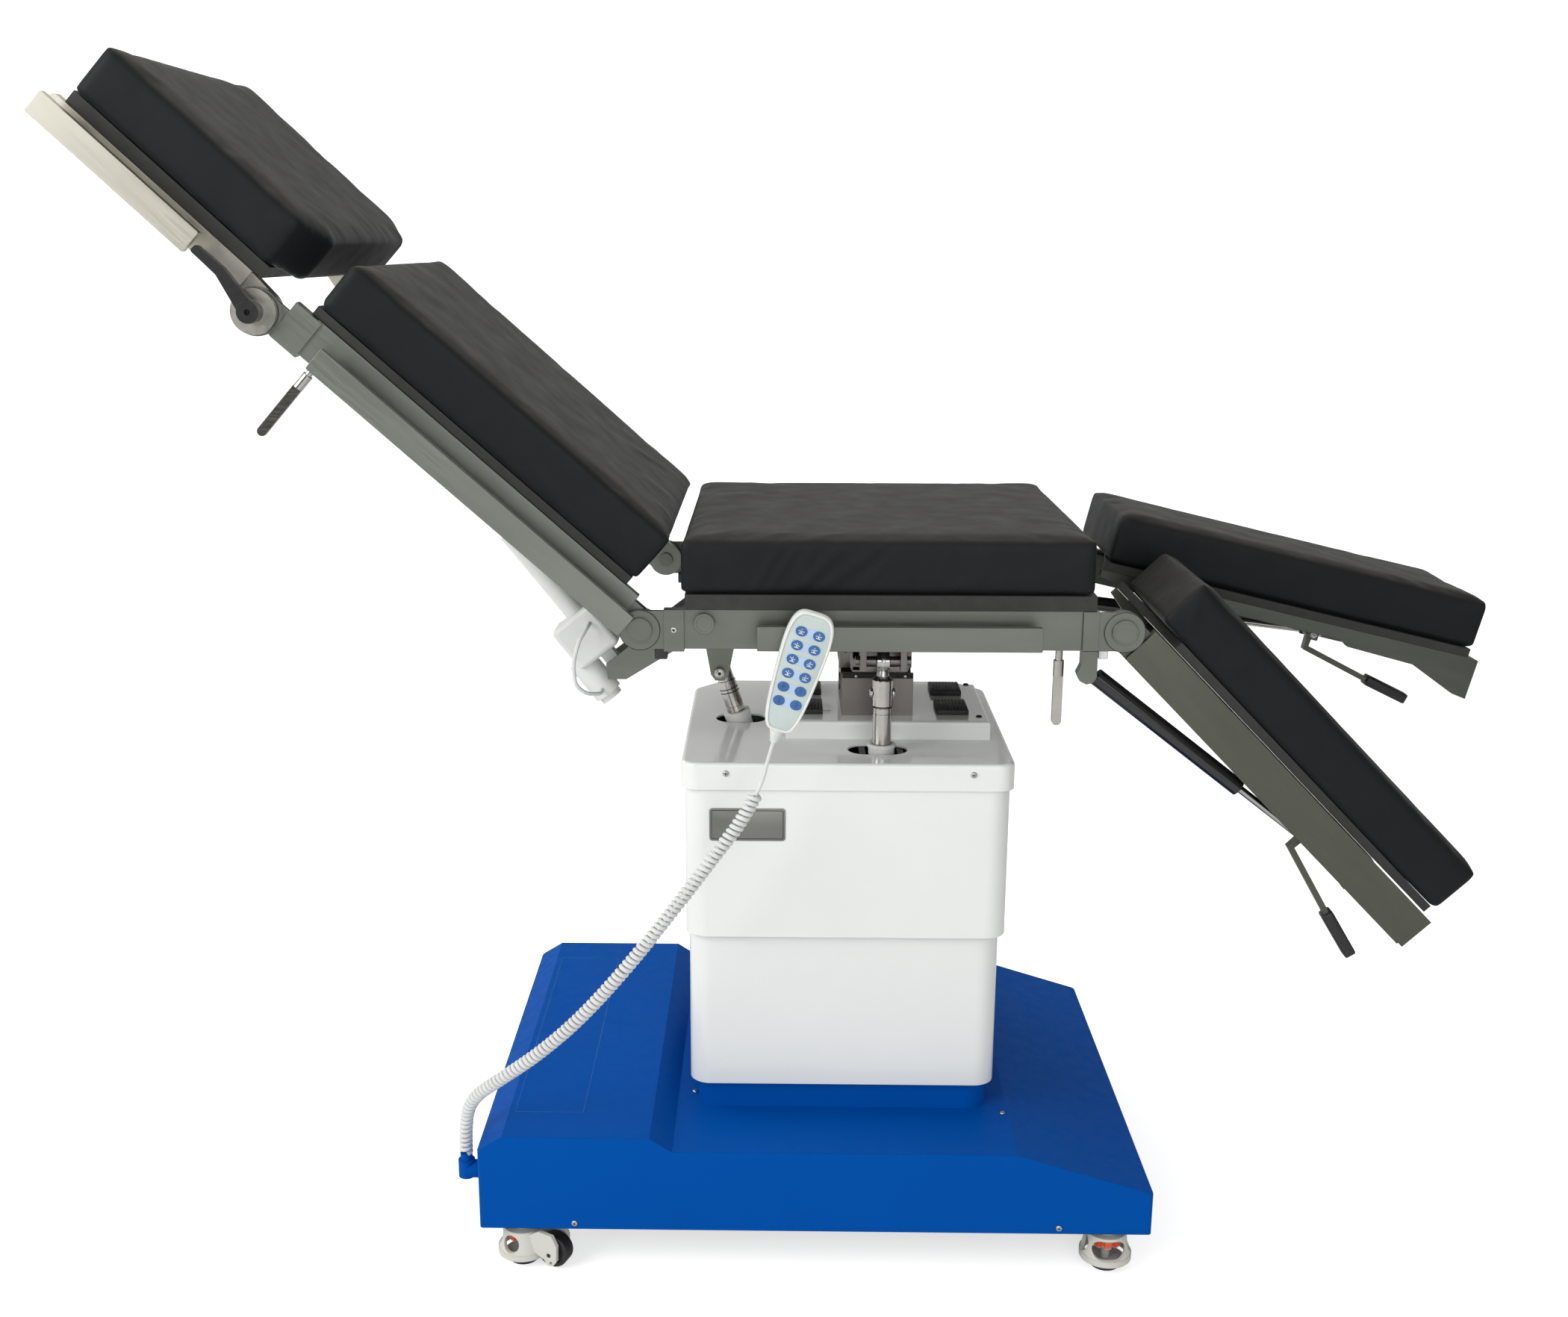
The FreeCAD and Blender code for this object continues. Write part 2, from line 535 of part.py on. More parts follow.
def hinge_lug_bore(x=0.0, z=0.0):
    """Cutter for a hinge pin's bore, through a near side piece."""
    return rod(HINGE_PIN_RADIUS + RUNNING_CLEARANCE, (x, -BAR_OUTER_Y - 50, z), (x, 60 - BAR_OUTER_Y, z))


SEAT_LUG_Y = (-BAR_OUTER_Y, -BAR_OUTER_Y + 6)
MOVING_LUG_Y = (-BAR_OUTER_Y + 6 + SIDE_CLEARANCE, -BAR_OUTER_Y + 22)


def seat_frame():
    """Welded seat frame: side bars, end brackets, hinge lugs, cross members and the tilt carrier."""
    bar_top = SEAT_BAR_BOTTOM + BAR_HEIGHT
    near = [side_bar(-190, 321.5, SEAT_BAR_BOTTOM, bar_top)]
    near.append(box(-192, -167, -BAR_OUTER_Y - 3, -BAR_OUTER_Y + BAR_THICKNESS, SEAT_BAR_BOTTOM - 3, bar_top))
    bracket = [(321, bar_top), (340.5, bar_top), (340.5, 792), (336, 786), (328, 784), (320, 788), (316, 797),
               (321, 808)]
    near.append(plate_xz(bracket, -BAR_OUTER_Y - 3, -BAR_OUTER_Y + BAR_THICKNESS))
    for x, start in ((BACK_HINGE_X, -186), (LEG_HINGE_X, 340)):
        lug = box(min(x, start), max(x, start), SEAT_LUG_Y[0], SEAT_LUG_Y[1], HINGE_Z - 24, HINGE_Z + 24)
        disc = rod(HINGE_DISC_RADIUS, (x, SEAT_LUG_Y[0] - 2, HINGE_Z), (x, SEAT_LUG_Y[1], HINGE_Z))
        pin = rod(HINGE_PIN_RADIUS, (x, SEAT_LUG_Y[0], HINGE_Z), (x, MOVING_LUG_Y[1] + 4, HINGE_Z))
        button = rod(HINGE_BUTTON_RADIUS, (x, SEAT_LUG_Y[0] - 6, HINGE_Z), (x, SEAT_LUG_Y[0] - 1, HINGE_Z))
        near += [lug, disc, pin, button]
    near.append(rod(13, (-142, -BAR_OUTER_Y - 9, 859), (-142, -BAR_OUTER_Y + 1, 859)))
    pin_x, pin_z = SPRING_TOP
    near.append(rod(5, (pin_x, -BAR_OUTER_Y + 10, pin_z), (pin_x, -SPRING_Y + 7, pin_z)))
    near_side = fuse(near)
    cross = [box(x - 20, x + 20, -BAR_OUTER_Y + BAR_THICKNESS - 0.5, BAR_OUTER_Y - BAR_THICKNESS + 0.5,
                 842, 872) for x in (-135, 15, 145, 300)]
    beams = [box(-150, 315, y - 6, y + 6, 842, 874) for y in (-90, 90)]
    carrier = box(20, 140, -90, 90, 846, 858)
    lug_tail = box(TILT_CENTRE_X - 22, TILT_CENTRE_X + 22, -34, 34, TREND_AXIS_Z, 847)
    lug_round = rod(22, (TILT_CENTRE_X, -34, TREND_AXIS_Z), (TILT_CENTRE_X, 34, TREND_AXIS_Z))
    shaft = rod(TILT_SHAFT_RADIUS - RUNNING_CLEARANCE, (TILT_CENTRE_X, -44.5, TREND_AXIS_Z),
                (TILT_CENTRE_X, 44.5, TREND_AXIS_Z))
    x, z = END_ACTUATOR_TOP
    taper = [(x - 30, 843), (x + 32, 843), (x + 12, z - 4), (x + 6, z - 12), (x - 6, z - 12), (x - 12, z - 4)]
    end_lugs = []
    for side in (-1, 1):
        inner, outer = side * END_LUG_SPREAD, side * (END_LUG_SPREAD + 6)
        end_lugs.append(plate_xz(taper, min(inner, outer), max(inner, outer)))
        end_lugs.append(rod(7, (x, inner - side * 4, z), (x, outer + side * 5, z)))
    return fuse([near_side, mirrored(near_side)] + cross + beams
                + [carrier, lug_tail, lug_round, shaft] + end_lugs + back_actuator_bracket())


def seat_panel():
    y = PAD_HALF_WIDTH - 8
    return box(SEAT_PAD_START + 8, SEAT_PAD_END - 4, -y, y, SEAT_BAR_BOTTOM + BAR_HEIGHT + 0.3,
               SEAT_PAD_BOTTOM - 0.3)


def moving_side(direction, length, bottom, top, round_start):
    """Near bar of a hinged section with its lug, modelled flat about the hinge at the origin."""
    lug_y = MOVING_LUG_Y
    start, end = sorted((direction * round_start, direction * length))
    bar = box(start, end, -BAR_OUTER_Y, -BAR_OUTER_Y + BAR_THICKNESS, bottom, top)
    tail = sorted((0, direction * (round_start + 40)))
    lug = box(tail[0], tail[1], lug_y[0], lug_y[1], -22, 22)
    disc = rod(24, (0, lug_y[0], 0), (0, lug_y[1], 0))
    return fuse([bar, lug, disc]).cut(hinge_lug_bore())


def back_frame():
    near = [moving_side(-1, 526, -17, 31, 28)]
    near.append(box(-558, -520, -BAR_OUTER_Y - BLOCK_PROUD, -BAR_OUTER_Y + BAR_THICKNESS, -22, 30))
    hx, hz = -HEAD_HINGE_ALONG, HEAD_HINGE_ACROSS
    ear = rod(29, (hx, -BAR_OUTER_Y, hz), (hx, -BAR_OUTER_Y + 6, hz))
    tail = box(hx, -555, -BAR_OUTER_Y, -BAR_OUTER_Y + 6, -22, 16)
    pin = rod(HINGE_PIN_RADIUS, (hx, -BAR_OUTER_Y, hz), (hx, -BAR_OUTER_Y + 26, hz))
    boss = rod(20, (hx, -BAR_OUTER_Y - BLOCK_PROUD, hz), (hx, -BAR_OUTER_Y + 1, hz))
    near += [ear, tail, pin, boss]
    near_side = fuse(near)
    cross = [box(x - 16, x + 16, -BAR_OUTER_Y + BAR_THICKNESS - 0.5, BAR_OUTER_Y - BAR_THICKNESS + 0.5, 2, 30)
             for x in (-100, -300, -500)]
    qx, qz = -BACK_ACTUATOR_ALONG, BACK_ACTUATOR_ACROSS
    cheek = [(-284, 12), (-316, 12), (qx - 14, qz + 4), (qx - 14, qz - 10), (qx + 12, qz - 12)]
    ears = []
    for side in (-1, 1):
        inner, outer = sorted((BACK_ACTUATOR_Y + side * 10, BACK_ACTUATOR_Y + side * 16))
        ears.append(plate_xz(cheek, inner, outer))
        ears.append(rod(5, (qx, BACK_ACTUATOR_Y + side * 8, qz), (qx, BACK_ACTUATOR_Y + side * 20, qz)))
    return fuse([near_side, mirrored(near_side)] + cross + ears)


def head_frame():
    lug_y = MOVING_LUG_Y
    disc = rod(28, (0, lug_y[0], 0), (0, lug_y[1], 0))
    lug = plate_xz([(0, -24), (0, 28), (-60, 33), (-60, 0), (-30, -8)], lug_y[0], lug_y[1])
    bar = plate_xz([(-32, 2), (-32, 33), (-322, 33), (-328, 27), (-328, 2)], -BAR_OUTER_Y,
                   -BAR_OUTER_Y + BAR_THICKNESS)
    near_side = fuse([disc, lug, bar]).cut(hinge_lug_bore())
    cross = [box(x - 14, x + 14, -BAR_OUTER_Y + BAR_THICKNESS - 0.5, BAR_OUTER_Y - BAR_THICKNESS + 0.5, 8, 32)
             for x in (-95, -300)]
    return fuse([near_side, mirrored(near_side)] + cross)


def section_panel(x0, x1, bottom, top):
    y = PAD_HALF_WIDTH - PANEL_INSET
    return box(x0, x1, -y, y, bottom, top)


def leg_frame():
    """Near leg frame: hinged outer bar, slim inner beam, cross ties and the deep foot-end bracket."""
    outer = moving_side(1, 548, -22, 28, 26)
    inner_y = (-LEG_PAD_GAP / 2 - 16, -LEG_PAD_GAP / 2 - 4)
    beam = [(14, 30), (14, 20), (60, 12), (363, 12), (374, 5), (470, 2), (536, -25), (556, -28), (556, 28),
            (545, 30)]
    inner = plate_xz(beam, inner_y[0], inner_y[1])
    ties = [box(x - 12, x + 12, -BAR_OUTER_Y + BAR_THICKNESS - 0.5, inner_y[0] + 0.5, 16, 28)
            for x in (90, 240, 470)]
    foot = box(538, 556, -BAR_OUTER_Y + 0.5, inner_y[0] + 0.5, -20, 28)
    # The lug's lower inner edge is milled away, where the gas spring lies beside it with the leg raised
    relief = box(-30, 68, -SPRING_Y - SPRING_TUBE_RADIUS - SPRING_ROOM, MOVING_LUG_Y[1] + 1, -40,
                 SPRING_RELIEF_TOP)
    return fuse([outer.cut(relief), inner, foot] + ties)


def leg_panel():
    y0, y1 = -PAD_HALF_WIDTH + PANEL_INSET, -LEG_PAD_GAP / 2 - 3
    outline = [(14, y1), (60, y0), (540, y0), (540, y1)]
    return plate_xy(outline, 30.3, 41.7)


def leg_pad():
    """Near leg pad, next to the middle gap."""
    z0 = LEG_PAD_BOTTOM
    return pad(LEG_PAD_START, LEG_PAD_END, -PAD_HALF_WIDTH, -LEG_PAD_GAP / 2, z0)


def leg_lever():
    """Cranked flat lever with a plain grip, under the near leg."""
    x, z = LEG_LEVER_PIVOT
    y = -LEG_LEVER_Y
    bore = rod(4 + RUNNING_CLEARANCE, (x, y - 15, z), (x, y + 15, z))
    hub = rod(8, (x, y - 13, z), (x, y + 13, z))
    blade = plate_xz([(x - 4, z), (x + 4, z), (x + 3, z - 21), (x + 106, z - 47), (x + 104, z - 54),
                      (x - 3, z - 27)], y - 7, y + 7)
    grip = plate_xz([(x + 104, z - 43), (x + 169, z - 58), (x + 166, z - 71), (x + 101, z - 56)],
                    y - 10, y + 10)
    return fuse([hub, blade, grip]).cut(bore)


def lever_pivot():
    """Bracket and pin that carry the release lever, part of the leg frame."""
    x, z = LEG_LEVER_PIVOT
    y = -LEG_LEVER_Y
    ears = [box(x - 8, x + 8, side - 3, side + 3, z - 8, 27) for side in (y - 17, y + 17)]
    shelf = box(235, x + 8, y - 20, y + 20, 17, 28)
    pin = rod(4, (x, y - 19, z), (x, y + 19, z))
    return fuse(ears + [shelf, pin])


def gas_spring_parts(angle):
    """Tube and rod for a leg at the given rest angle."""
    ax, az = SPRING_TOP
    bx, bz = point_turned(SPRING_END_ALONG, SPRING_END_ACROSS, angle, LEG_HINGE_X, HINGE_Z)
    length = math.hypot(bx - ax, bz - az)
    y = -SPRING_Y
    tube = rod(SPRING_TUBE_RADIUS, (16, y, 0), (252, y, 0))
    neck = rod(6, (0, y, 0), (20, y, 0))
    eye = rod(9, (0, y - 6, 0), (0, y + 6, 0))
    bore = rod(SPRING_ROD_RADIUS + RUNNING_CLEARANCE, (60, y, 0), (260, y, 0))
    body = fuse([tube, neck, eye]).cut(bore).cut(rod(5 + RUNNING_CLEARANCE, (0, y - 7, 0), (0, y + 7, 0)))
    inner = rod(SPRING_ROD_RADIUS, (length - SPRING_ROD_LENGTH, y, 0), (length - 6, y, 0))
    end = rod(8, (length, y - 5, 0), (length, y + 5, 0))
    lean = math.degrees(math.atan2(az - bz, bx - ax))
    return [turned(piece, lean, ax, az) for piece in (body, fuse([inner, end]))]


def clamp_screw(length):
    """Hanging clamp screw: stud, fork knuckle and flat round-ended handle, from its top at the origin."""
    stud = Part.makeCylinder(4.5, 14, Vector(0, 0, -14), Z_AXIS)
    knuckle = Part.makeCylinder(6.5, 20, Vector(0, 0, -33), Z_AXIS)
    handle = box(-6, 6, -3, 3, -length + 6, -32)
    tip = rod(6, (0, -3, -length + 6), (0, 3, -length + 6))
    return fuse([stud, knuckle, handle, tip])


def head_pad():
    """Head pad with its two neck corners cut off."""
    half = PAD_HALF_WIDTH
    outline = [(-HEAD_PAD_START, 60 - half), (-20, -half), (-HEAD_PAD_END, -half), (-HEAD_PAD_END, half),
               (-20, half), (-HEAD_PAD_START, half - 60)]
    block = plate_xy(outline, HEAD_PAD_BOTTOM, HEAD_PAD_BOTTOM + PAD_THICKNESS)
    return block.makeFillet(PAD_CORNER_RADIUS, block.Edges)


def head_lever():
    """Curved black clamp lever with a round hub on the head hinge, near side."""
    y1 = -BAR_OUTER_Y - BLOCK_PROUD - SIDE_CLEARANCE
    hub = fuse([rod(27, (0, y1 - 8, 0), (0, y1, 0)), rod(13, (0, y1 - 30, 0), (0, y1 - 7, 0))])
    arm = plate_xz([(4, 12), (-14, 13), (-52, 20), (-92, 19), (-93, 9), (-54, 8), (-16, -5), (4, -12)],
                   y1 - 29, y1 - 17)
    arm = fillet_edges(arm, 3, lambda e: along_axis(e, Y_AXIS))
    socket = rod(3.5, (0, y1 - 31, 0), (0, y1 - 22, 0))
    return fuse([hub, arm]).cut(socket)


def back_actuator_line():
    """Lower pivot, upper pivot, length and lean of the back actuator at rest."""
    px, pz = BACK_ACTUATOR_PIVOT
    qx, qz = point_turned(-BACK_ACTUATOR_ALONG, BACK_ACTUATOR_ACROSS, BACK_ANGLE, BACK_HINGE_X, HINGE_Z)
    return math.hypot(qx - px, qz - pz), math.degrees(math.atan2(qz - pz, px - qx))


def set_on_back_line(shape):
    """From the actuator's own axes, running along -X from its lower pivot, to its place."""
    length, lean = back_actuator_line()
    px, pz = BACK_ACTUATOR_PIVOT
    return turned(shape, lean, px, pz)


def back_actuator():
    """Motor housing with its motor can, guide tube and rear eye."""
    y = BACK_ACTUATOR_Y
    housing = box(-88, -24, y - 27, y + 27, -38, 26)
    housing = fillet_edges(housing, 7, lambda e: True)
    motor = fuse([rod(19, (-34, y, -34), (22, y, -34)), rod(15, (20, y, -34), (30, y, -34))])
    bridge = box(-60, -30, y - 14, y + 14, -36, -20)
    tube = rod(13, (-84, y, 0), (-222, y, 0))
    eye = fuse([rod(11, (0, y - 9, 0), (0, y + 9, 0)), box(-24, 0, y - 9, y + 9, -9, 9)])
    body = fuse([housing, motor, bridge, tube, eye])
    body = body.cut(rod(8 + RUNNING_CLEARANCE, (-100, y, 0), (-230, y, 0)))
    return body.cut(rod(5 + RUNNING_CLEARANCE, (0, y - 40, 0), (0, y + 40, 0)))


def back_actuator_rod():
    length, lean = back_actuator_line()
    y = BACK_ACTUATOR_Y
    shaft = rod(8, (-190, y, 0), (-length + 6, y, 0))
    eye = rod(10, (-length, y - 7, 0), (-length, y + 7, 0))
    return fuse([shaft, eye])


def back_actuator_bracket():
    """Two cheeks and a pin on the seat frame for the rear eye of the back actuator."""
    px, pz = BACK_ACTUATOR_PIVOT
    outline = [(-156, 871), (-116, 871), (-116, 843), (px + 14, pz - 12), (px - 10, pz - 12),
               (px - 12, pz + 8)]
    y = BACK_ACTUATOR_Y
    cheeks = [plate_xz(outline, side - 3, side + 3) for side in (y - 31, y + 31)]
    return cheeks + [rod(5, (px, y - 33, pz), (px, y + 33, pz))]


def bent_tube(points, radius, name):
    """Round tube through hand-picked points: straight runs joined by tangent arcs."""
    corners = [Vector(*p) for p in points]
    edges = []
    start = corners[0]
    radii = []
    for before, corner, after in zip(corners, corners[1:], corners[2:]):
        into = (corner - before).normalize()
        out = (after - corner).normalize()
        half_turn = into.getAngle(out) / 2
        shorter = min((corner - before).Length, (after - corner).Length)
        setback = 0.45 * shorter
        radii.append(setback / math.tan(half_turn))
        a = corner - into * setback
        b = corner + out * setback
        bisector = (out - into).normalize()
        middle = corner + bisector * (radii[-1] / math.cos(half_turn) - radii[-1])
        edges.append(Part.makeLine(start, a))
        edges.append(Part.Arc(a, middle, b).toShape())
        start = b
    edges.append(Part.makeLine(start, corners[-1]))
    path = Part.Wire(edges)
    direction = (corners[1] - corners[0]).normalize()
    ring = Part.Wire([Part.makeCircle(radius, corners[0], direction)])
    tube = path.makePipeShell([ring], True, False)
    expected = math.pi * radius * radius * path.Length
    print(name, "length", round(path.Length), "radii", [round(r) for r in radii],
          "volume ratio", round(tube.Volume / expected, 4))
    return tube


# Curly cord of the handset, from the handset's relief to the gland on the base
CORD_LEAD_ROUTE = [(-56.5, -302, 722.3), (-63.7, -302, 699.4), (-68.9, -301.4, 672.6),
                   (-77.96, -303.99, 655.08)]
CORD_COIL_ROUTE = [(-78, -304, 655), (-94, -308.5, 624), (-121, -316, 590), (-172, -324, 522),
                   (-232, -328, 443), (-295, -326, 368), (-352, -318, 313), (-404, -303, 270), (-449, -277, 228),
                   (-461, -262, 182), (-461, -262, 142)]


def actuator_lead():
    """Grey lead that loops from the housing of the back actuator to its motor can."""
    y = BACK_ACTUATOR_Y - 29
    route = [(-68, y + 2, 12), (-68, y - 16, 12), (-62, y - 32, -6), (-44, y - 38, -30), (-20, y - 36, -46),
             (-2, y - 28, -44), (12, y - 10, -34), (12, y + 10, -34)]
    return set_on_back_line(bent_tube(route, 2.6, "actuator_lead"))


# Handset, modelled upright facing -Y and then leaned
HANDSET_TOP_WIDTH = 60.0
HANDSET_BOTTOM_WIDTH = 41.0
HANDSET_LENGTH = 150.0
HANDSET_DEPTH = 22.0
HANDSET_LEAN = 17.5
KEY_PITCH = 17.8
KEY_SPREAD = 10.9
HANDSET_GAP = 6.0
HOOK_SHEET = 1.2
HANDSET_PLACE = (-28.5, -RAIL_OUTER_Y - HANDSET_GAP, 811.0)


def handset_outline(inset, depth0, depth1):
    """Tapered block with round corners, between two depths."""
    top, bottom = HANDSET_TOP_WIDTH / 2 - inset, HANDSET_BOTTOM_WIDTH / 2 - inset
    half = HANDSET_LENGTH / 2 - inset
    block = plate_xz([(-top, half), (top, half), (bottom, -half), (-bottom, -half)], depth0, depth1)
    return fillet_edges(block, 11 - inset * 0.6, lambda e: along_axis(e, Y_AXIS))


def set_handset(shape):
    shape = shape.copy()
    shape.Placement = Placement(Vector(*HANDSET_PLACE), Rotation(Y_AXIS, HANDSET_LEAN)) * shape.Placement
    return shape


def handset_shell():
    """Two-part look shell with a face recess, the cord relief below and the rail hook behind."""
    body = handset_outline(0, -HANDSET_DEPTH, 0)
    body = body.makeFillet(4, [e for e in body.Edges if abs(e.BoundBox.YMin - e.BoundBox.YMax) < 1e-6])
    recess = handset_outline(4.0, -HANDSET_DEPTH - 1, -HANDSET_DEPTH + 1.2)
    z0 = -HANDSET_LENGTH / 2
    relief = Part.makeCone(3.6, 6.5, 19, Vector(0, -HANDSET_DEPTH / 2, z0 - 18), Z_AXIS)
    back = HANDSET_GAP + RAIL_THICKNESS + HOOK_SHEET
    hook = fuse([box(-9, 9, -1, 2.5, 30, 59), box(-9, 9, 1.5, back, 55.9, 59),
                 box(-9, 9, back - HOOK_SHEET + RUNNING_CLEARANCE, back, 46, 59)])
    return set_handset(fuse([body, relief, hook]).cut(recess))


def handset_keypad():
    """Face membrane with two columns of six oval keys."""
    plate = handset_outline(4.3, -HANDSET_DEPTH + 0.2, -HANDSET_DEPTH + 1.15)
    oval = Part.Ellipse(Vector(0, 0, 0), 7.15, 6.15).toShape()
    key = Part.Face(Part.Wire(oval)).extrude(Vector(0, 0, 1.3))
    keys = []
    for row in range(6):
        for side in (-1, 1):
            place = Vector(side * (KEY_SPREAD - 0.04 * row), -HANDSET_DEPTH + 0.6, 51.0 - KEY_PITCH * row)
            piece = key.copy()
            piece.Placement = Placement(place, Rotation(X_AXIS, 90))
            keys.append(piece)
    return set_handset(fuse([plate] + keys))


def clamp_at(x, y, z, length):
    piece = clamp_screw(length)
    piece.translate(Vector(x, y, z))
    return piece


def build():
    save("base_cover", base_cover())
    save("base_frame", base_frame())
    housing, wheel = caster_housing(), caster_wheel()
    for name, (x, y) in caster_positions().items():
        save("caster_housing_" + name, set_caster(housing, name))
        save("caster_wheel_" + name, set_caster(wheel, name))
        save("levelling_foot_" + name, levelling_foot(x, y))
    save("lower_sleeve", lower_sleeve())
    save("upper_sleeve", sleeve(UPPER_SLEEVE))
    save("column_cap", column_cap())
    save("moving_column", moving_column())
    save("head_block", head_block())
    save("tilt_yoke", tilt_yoke())
    for name, pair in (("side_actuator", side_actuator()), ("end_actuator", end_actuator())):
        save(name + "_tube", pair[0])
        save(name + "_rod", pair[1])

    bar_top = SEAT_BAR_BOTTOM + BAR_HEIGHT
    save("seat_frame", seat_frame())
    save("seat_rails", both_sides(rail(-77, 268, 831.5, (-55, 95, 245))))
    save("seat_panel", seat_panel())
    save("seat_pad", pad(SEAT_PAD_START, SEAT_PAD_END, -PAD_HALF_WIDTH, PAD_HALF_WIDTH, SEAT_PAD_BOTTOM))

    def on_back(shape):
        return turned(shape, BACK_ANGLE, BACK_HINGE_X, HINGE_Z)

    head_x, head_z = point_turned(-HEAD_HINGE_ALONG, HEAD_HINGE_ACROSS, BACK_ANGLE, BACK_HINGE_X, HINGE_Z)
    print("head hinge", round(head_x, 2), round(head_z, 2))

    def on_head(shape):
        return turned(shape, HEAD_ANGLE, head_x, head_z)

    save("back_frame", on_back(back_frame()))
    save("back_rails", on_back(both_sides(rail(-498, -18, -16, (-45, -258, -470)))))
    board = section_panel(-BACK_PAD_END + 6, -BACK_PAD_START - 2, 31.3, SECTION_PAD_BOTTOM - 0.3)
    save("back_panel", on_back(board))
    cushion = pad(-BACK_PAD_END, -BACK_PAD_START, -PAD_HALF_WIDTH, PAD_HALF_WIDTH, SECTION_PAD_BOTTOM)
    save("back_pad", on_back(cushion))
    save("back_actuator", set_on_back_line(back_actuator()))
    save("back_actuator_rod", set_on_back_line(back_actuator_rod()))
    save("actuator_lead", actuator_lead())

    save("head_frame", on_head(head_frame()))
    save("head_rails", on_head(both_sides(rail(-325, -97, 2, (-130, -290)))))
    save("head_panel", on_head(section_panel(-HEAD_PAD_END + 6, -20, 33.3, HEAD_PAD_BOTTOM - 0.3)))
    save("head_pad", on_head(head_pad()))
    lever = head_lever()
    save("head_lever_near", on_head(lever))
    save("head_lever_far", on_head(mirrored(lever)))
    clamp = turned(clamp_at(-497, CLAMP_Y, -17, 108), BACK_ANGLE, BACK_HINGE_X, HINGE_Z)
    save("head_clamp_near", clamp)

    frame, panel, cushion, lever = leg_frame(), leg_panel(), leg_pad(), leg_lever()
    frame = fuse([frame, lever_pivot()])
    for side, angle in (("near", NEAR_LEG_ANGLE), ("far", FAR_LEG_ANGLE)):
        for name, shape in (("frame", frame), ("panel", panel), ("pad", cushion), ("lever", lever)):
            placed = mirrored(shape) if side == "far" else shape
            save(side + "_leg_" + name, turned(placed, angle, LEG_HINGE_X, HINGE_Z))
        for name, shape in zip(("tube", "rod"), gas_spring_parts(angle)):
            save(side + "_gas_spring_" + name, mirrored(shape) if side == "far" else shape)
        clamp_y = CLAMP_Y if side == "near" else -CLAMP_Y
        save("leg_clamp_" + side, clamp_at(294.5, clamp_y, SEAT_BAR_BOTTOM - 0.3, 96))

    save("handset_shell", handset_shell())
    save("handset_keypad", handset_keypad())
    save("cord_lead", bent_tube(CORD_LEAD_ROUTE, CORD_LEAD_RADIUS, "cord_lead"))
    save("cord_coil", bent_tube(CORD_COIL_ROUTE, CORD_COIL_RADIUS, "cord_coil"))


build()
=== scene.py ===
import math

import bmesh
import bpy
import numpy as np
from mathutils import Matrix, Vector


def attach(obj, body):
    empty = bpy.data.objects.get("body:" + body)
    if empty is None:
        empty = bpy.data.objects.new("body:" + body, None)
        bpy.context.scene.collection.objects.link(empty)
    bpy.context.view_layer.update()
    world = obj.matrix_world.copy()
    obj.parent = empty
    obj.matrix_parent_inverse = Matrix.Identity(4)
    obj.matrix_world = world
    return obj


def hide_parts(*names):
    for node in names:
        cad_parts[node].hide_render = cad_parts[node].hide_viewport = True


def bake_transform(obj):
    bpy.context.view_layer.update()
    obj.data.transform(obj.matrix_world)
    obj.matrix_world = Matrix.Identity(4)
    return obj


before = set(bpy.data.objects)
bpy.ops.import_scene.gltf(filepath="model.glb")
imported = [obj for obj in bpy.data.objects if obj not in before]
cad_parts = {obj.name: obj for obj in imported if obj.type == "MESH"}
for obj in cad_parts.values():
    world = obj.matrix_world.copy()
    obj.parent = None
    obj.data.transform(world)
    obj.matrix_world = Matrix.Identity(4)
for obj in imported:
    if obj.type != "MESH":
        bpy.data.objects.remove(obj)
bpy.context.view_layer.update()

# %% [markdown]
# The table's sections are each modelled flat about their own hinge. These matrices carry a point of a section to
# its place in the picture, so a pad or screw can be placed with the plain numbers of its own section.

# %% Section frames
MM = 0.001
HINGE_Z = 849.5
BACK_HINGE_X, LEG_HINGE_X = -221.7, 372.4
HEAD_HINGE_X, HEAD_HINGE_Z = -668.71, 1231.66
BACK_ANGLE, HEAD_ANGLE, NEAR_LEG_ANGLE, FAR_LEG_ANGLE = 41.6, 43.0, 45.5, 13.3


def hinge_frame(x, z, angle):
    return Matrix.Translation((x * MM, 0, z * MM)) @ Matrix.Rotation(math.radians(angle), 4, "Y")


SEAT = Matrix.Identity(4)
BACK = hinge_frame(BACK_HINGE_X, HINGE_Z, BACK_ANGLE)
HEAD = hinge_frame(HEAD_HINGE_X, HEAD_HINGE_Z, HEAD_ANGLE)
NEAR_LEG = hinge_frame(LEG_HINGE_X, HINGE_Z, NEAR_LEG_ANGLE)
FAR_LEG = hinge_frame(LEG_HINGE_X, HINGE_Z, FAR_LEG_ANGLE)
print("head pad start", tuple(round(v, 3) for v in HEAD @ Vector((0.015, 0, 0.05))))

# %% [markdown]
# Small mesh helpers. Each shape is one closed mesh in metres, and `mesh_object` makes it a piece with a material.

# %% Mesh helpers


def shade(obj, angle=40.0):
    obj.data.shade_smooth()
    obj.data.set_sharp_from_angle(angle=math.radians(angle))


def mesh_object(name, bm, material, body=None, smooth=40.0):
    mesh = bpy.data.meshes.new(name)
    bmesh.ops.recalc_face_normals(bm, faces=bm.faces)
    bm.to_mesh(mesh)
    bm.free()
    mesh.materials.append(material)
    obj = bpy.data.objects.new(name, mesh)
    bpy.context.scene.collection.objects.link(obj)
    shade(obj, smooth)
    if body:
        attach(obj, body)
    return obj


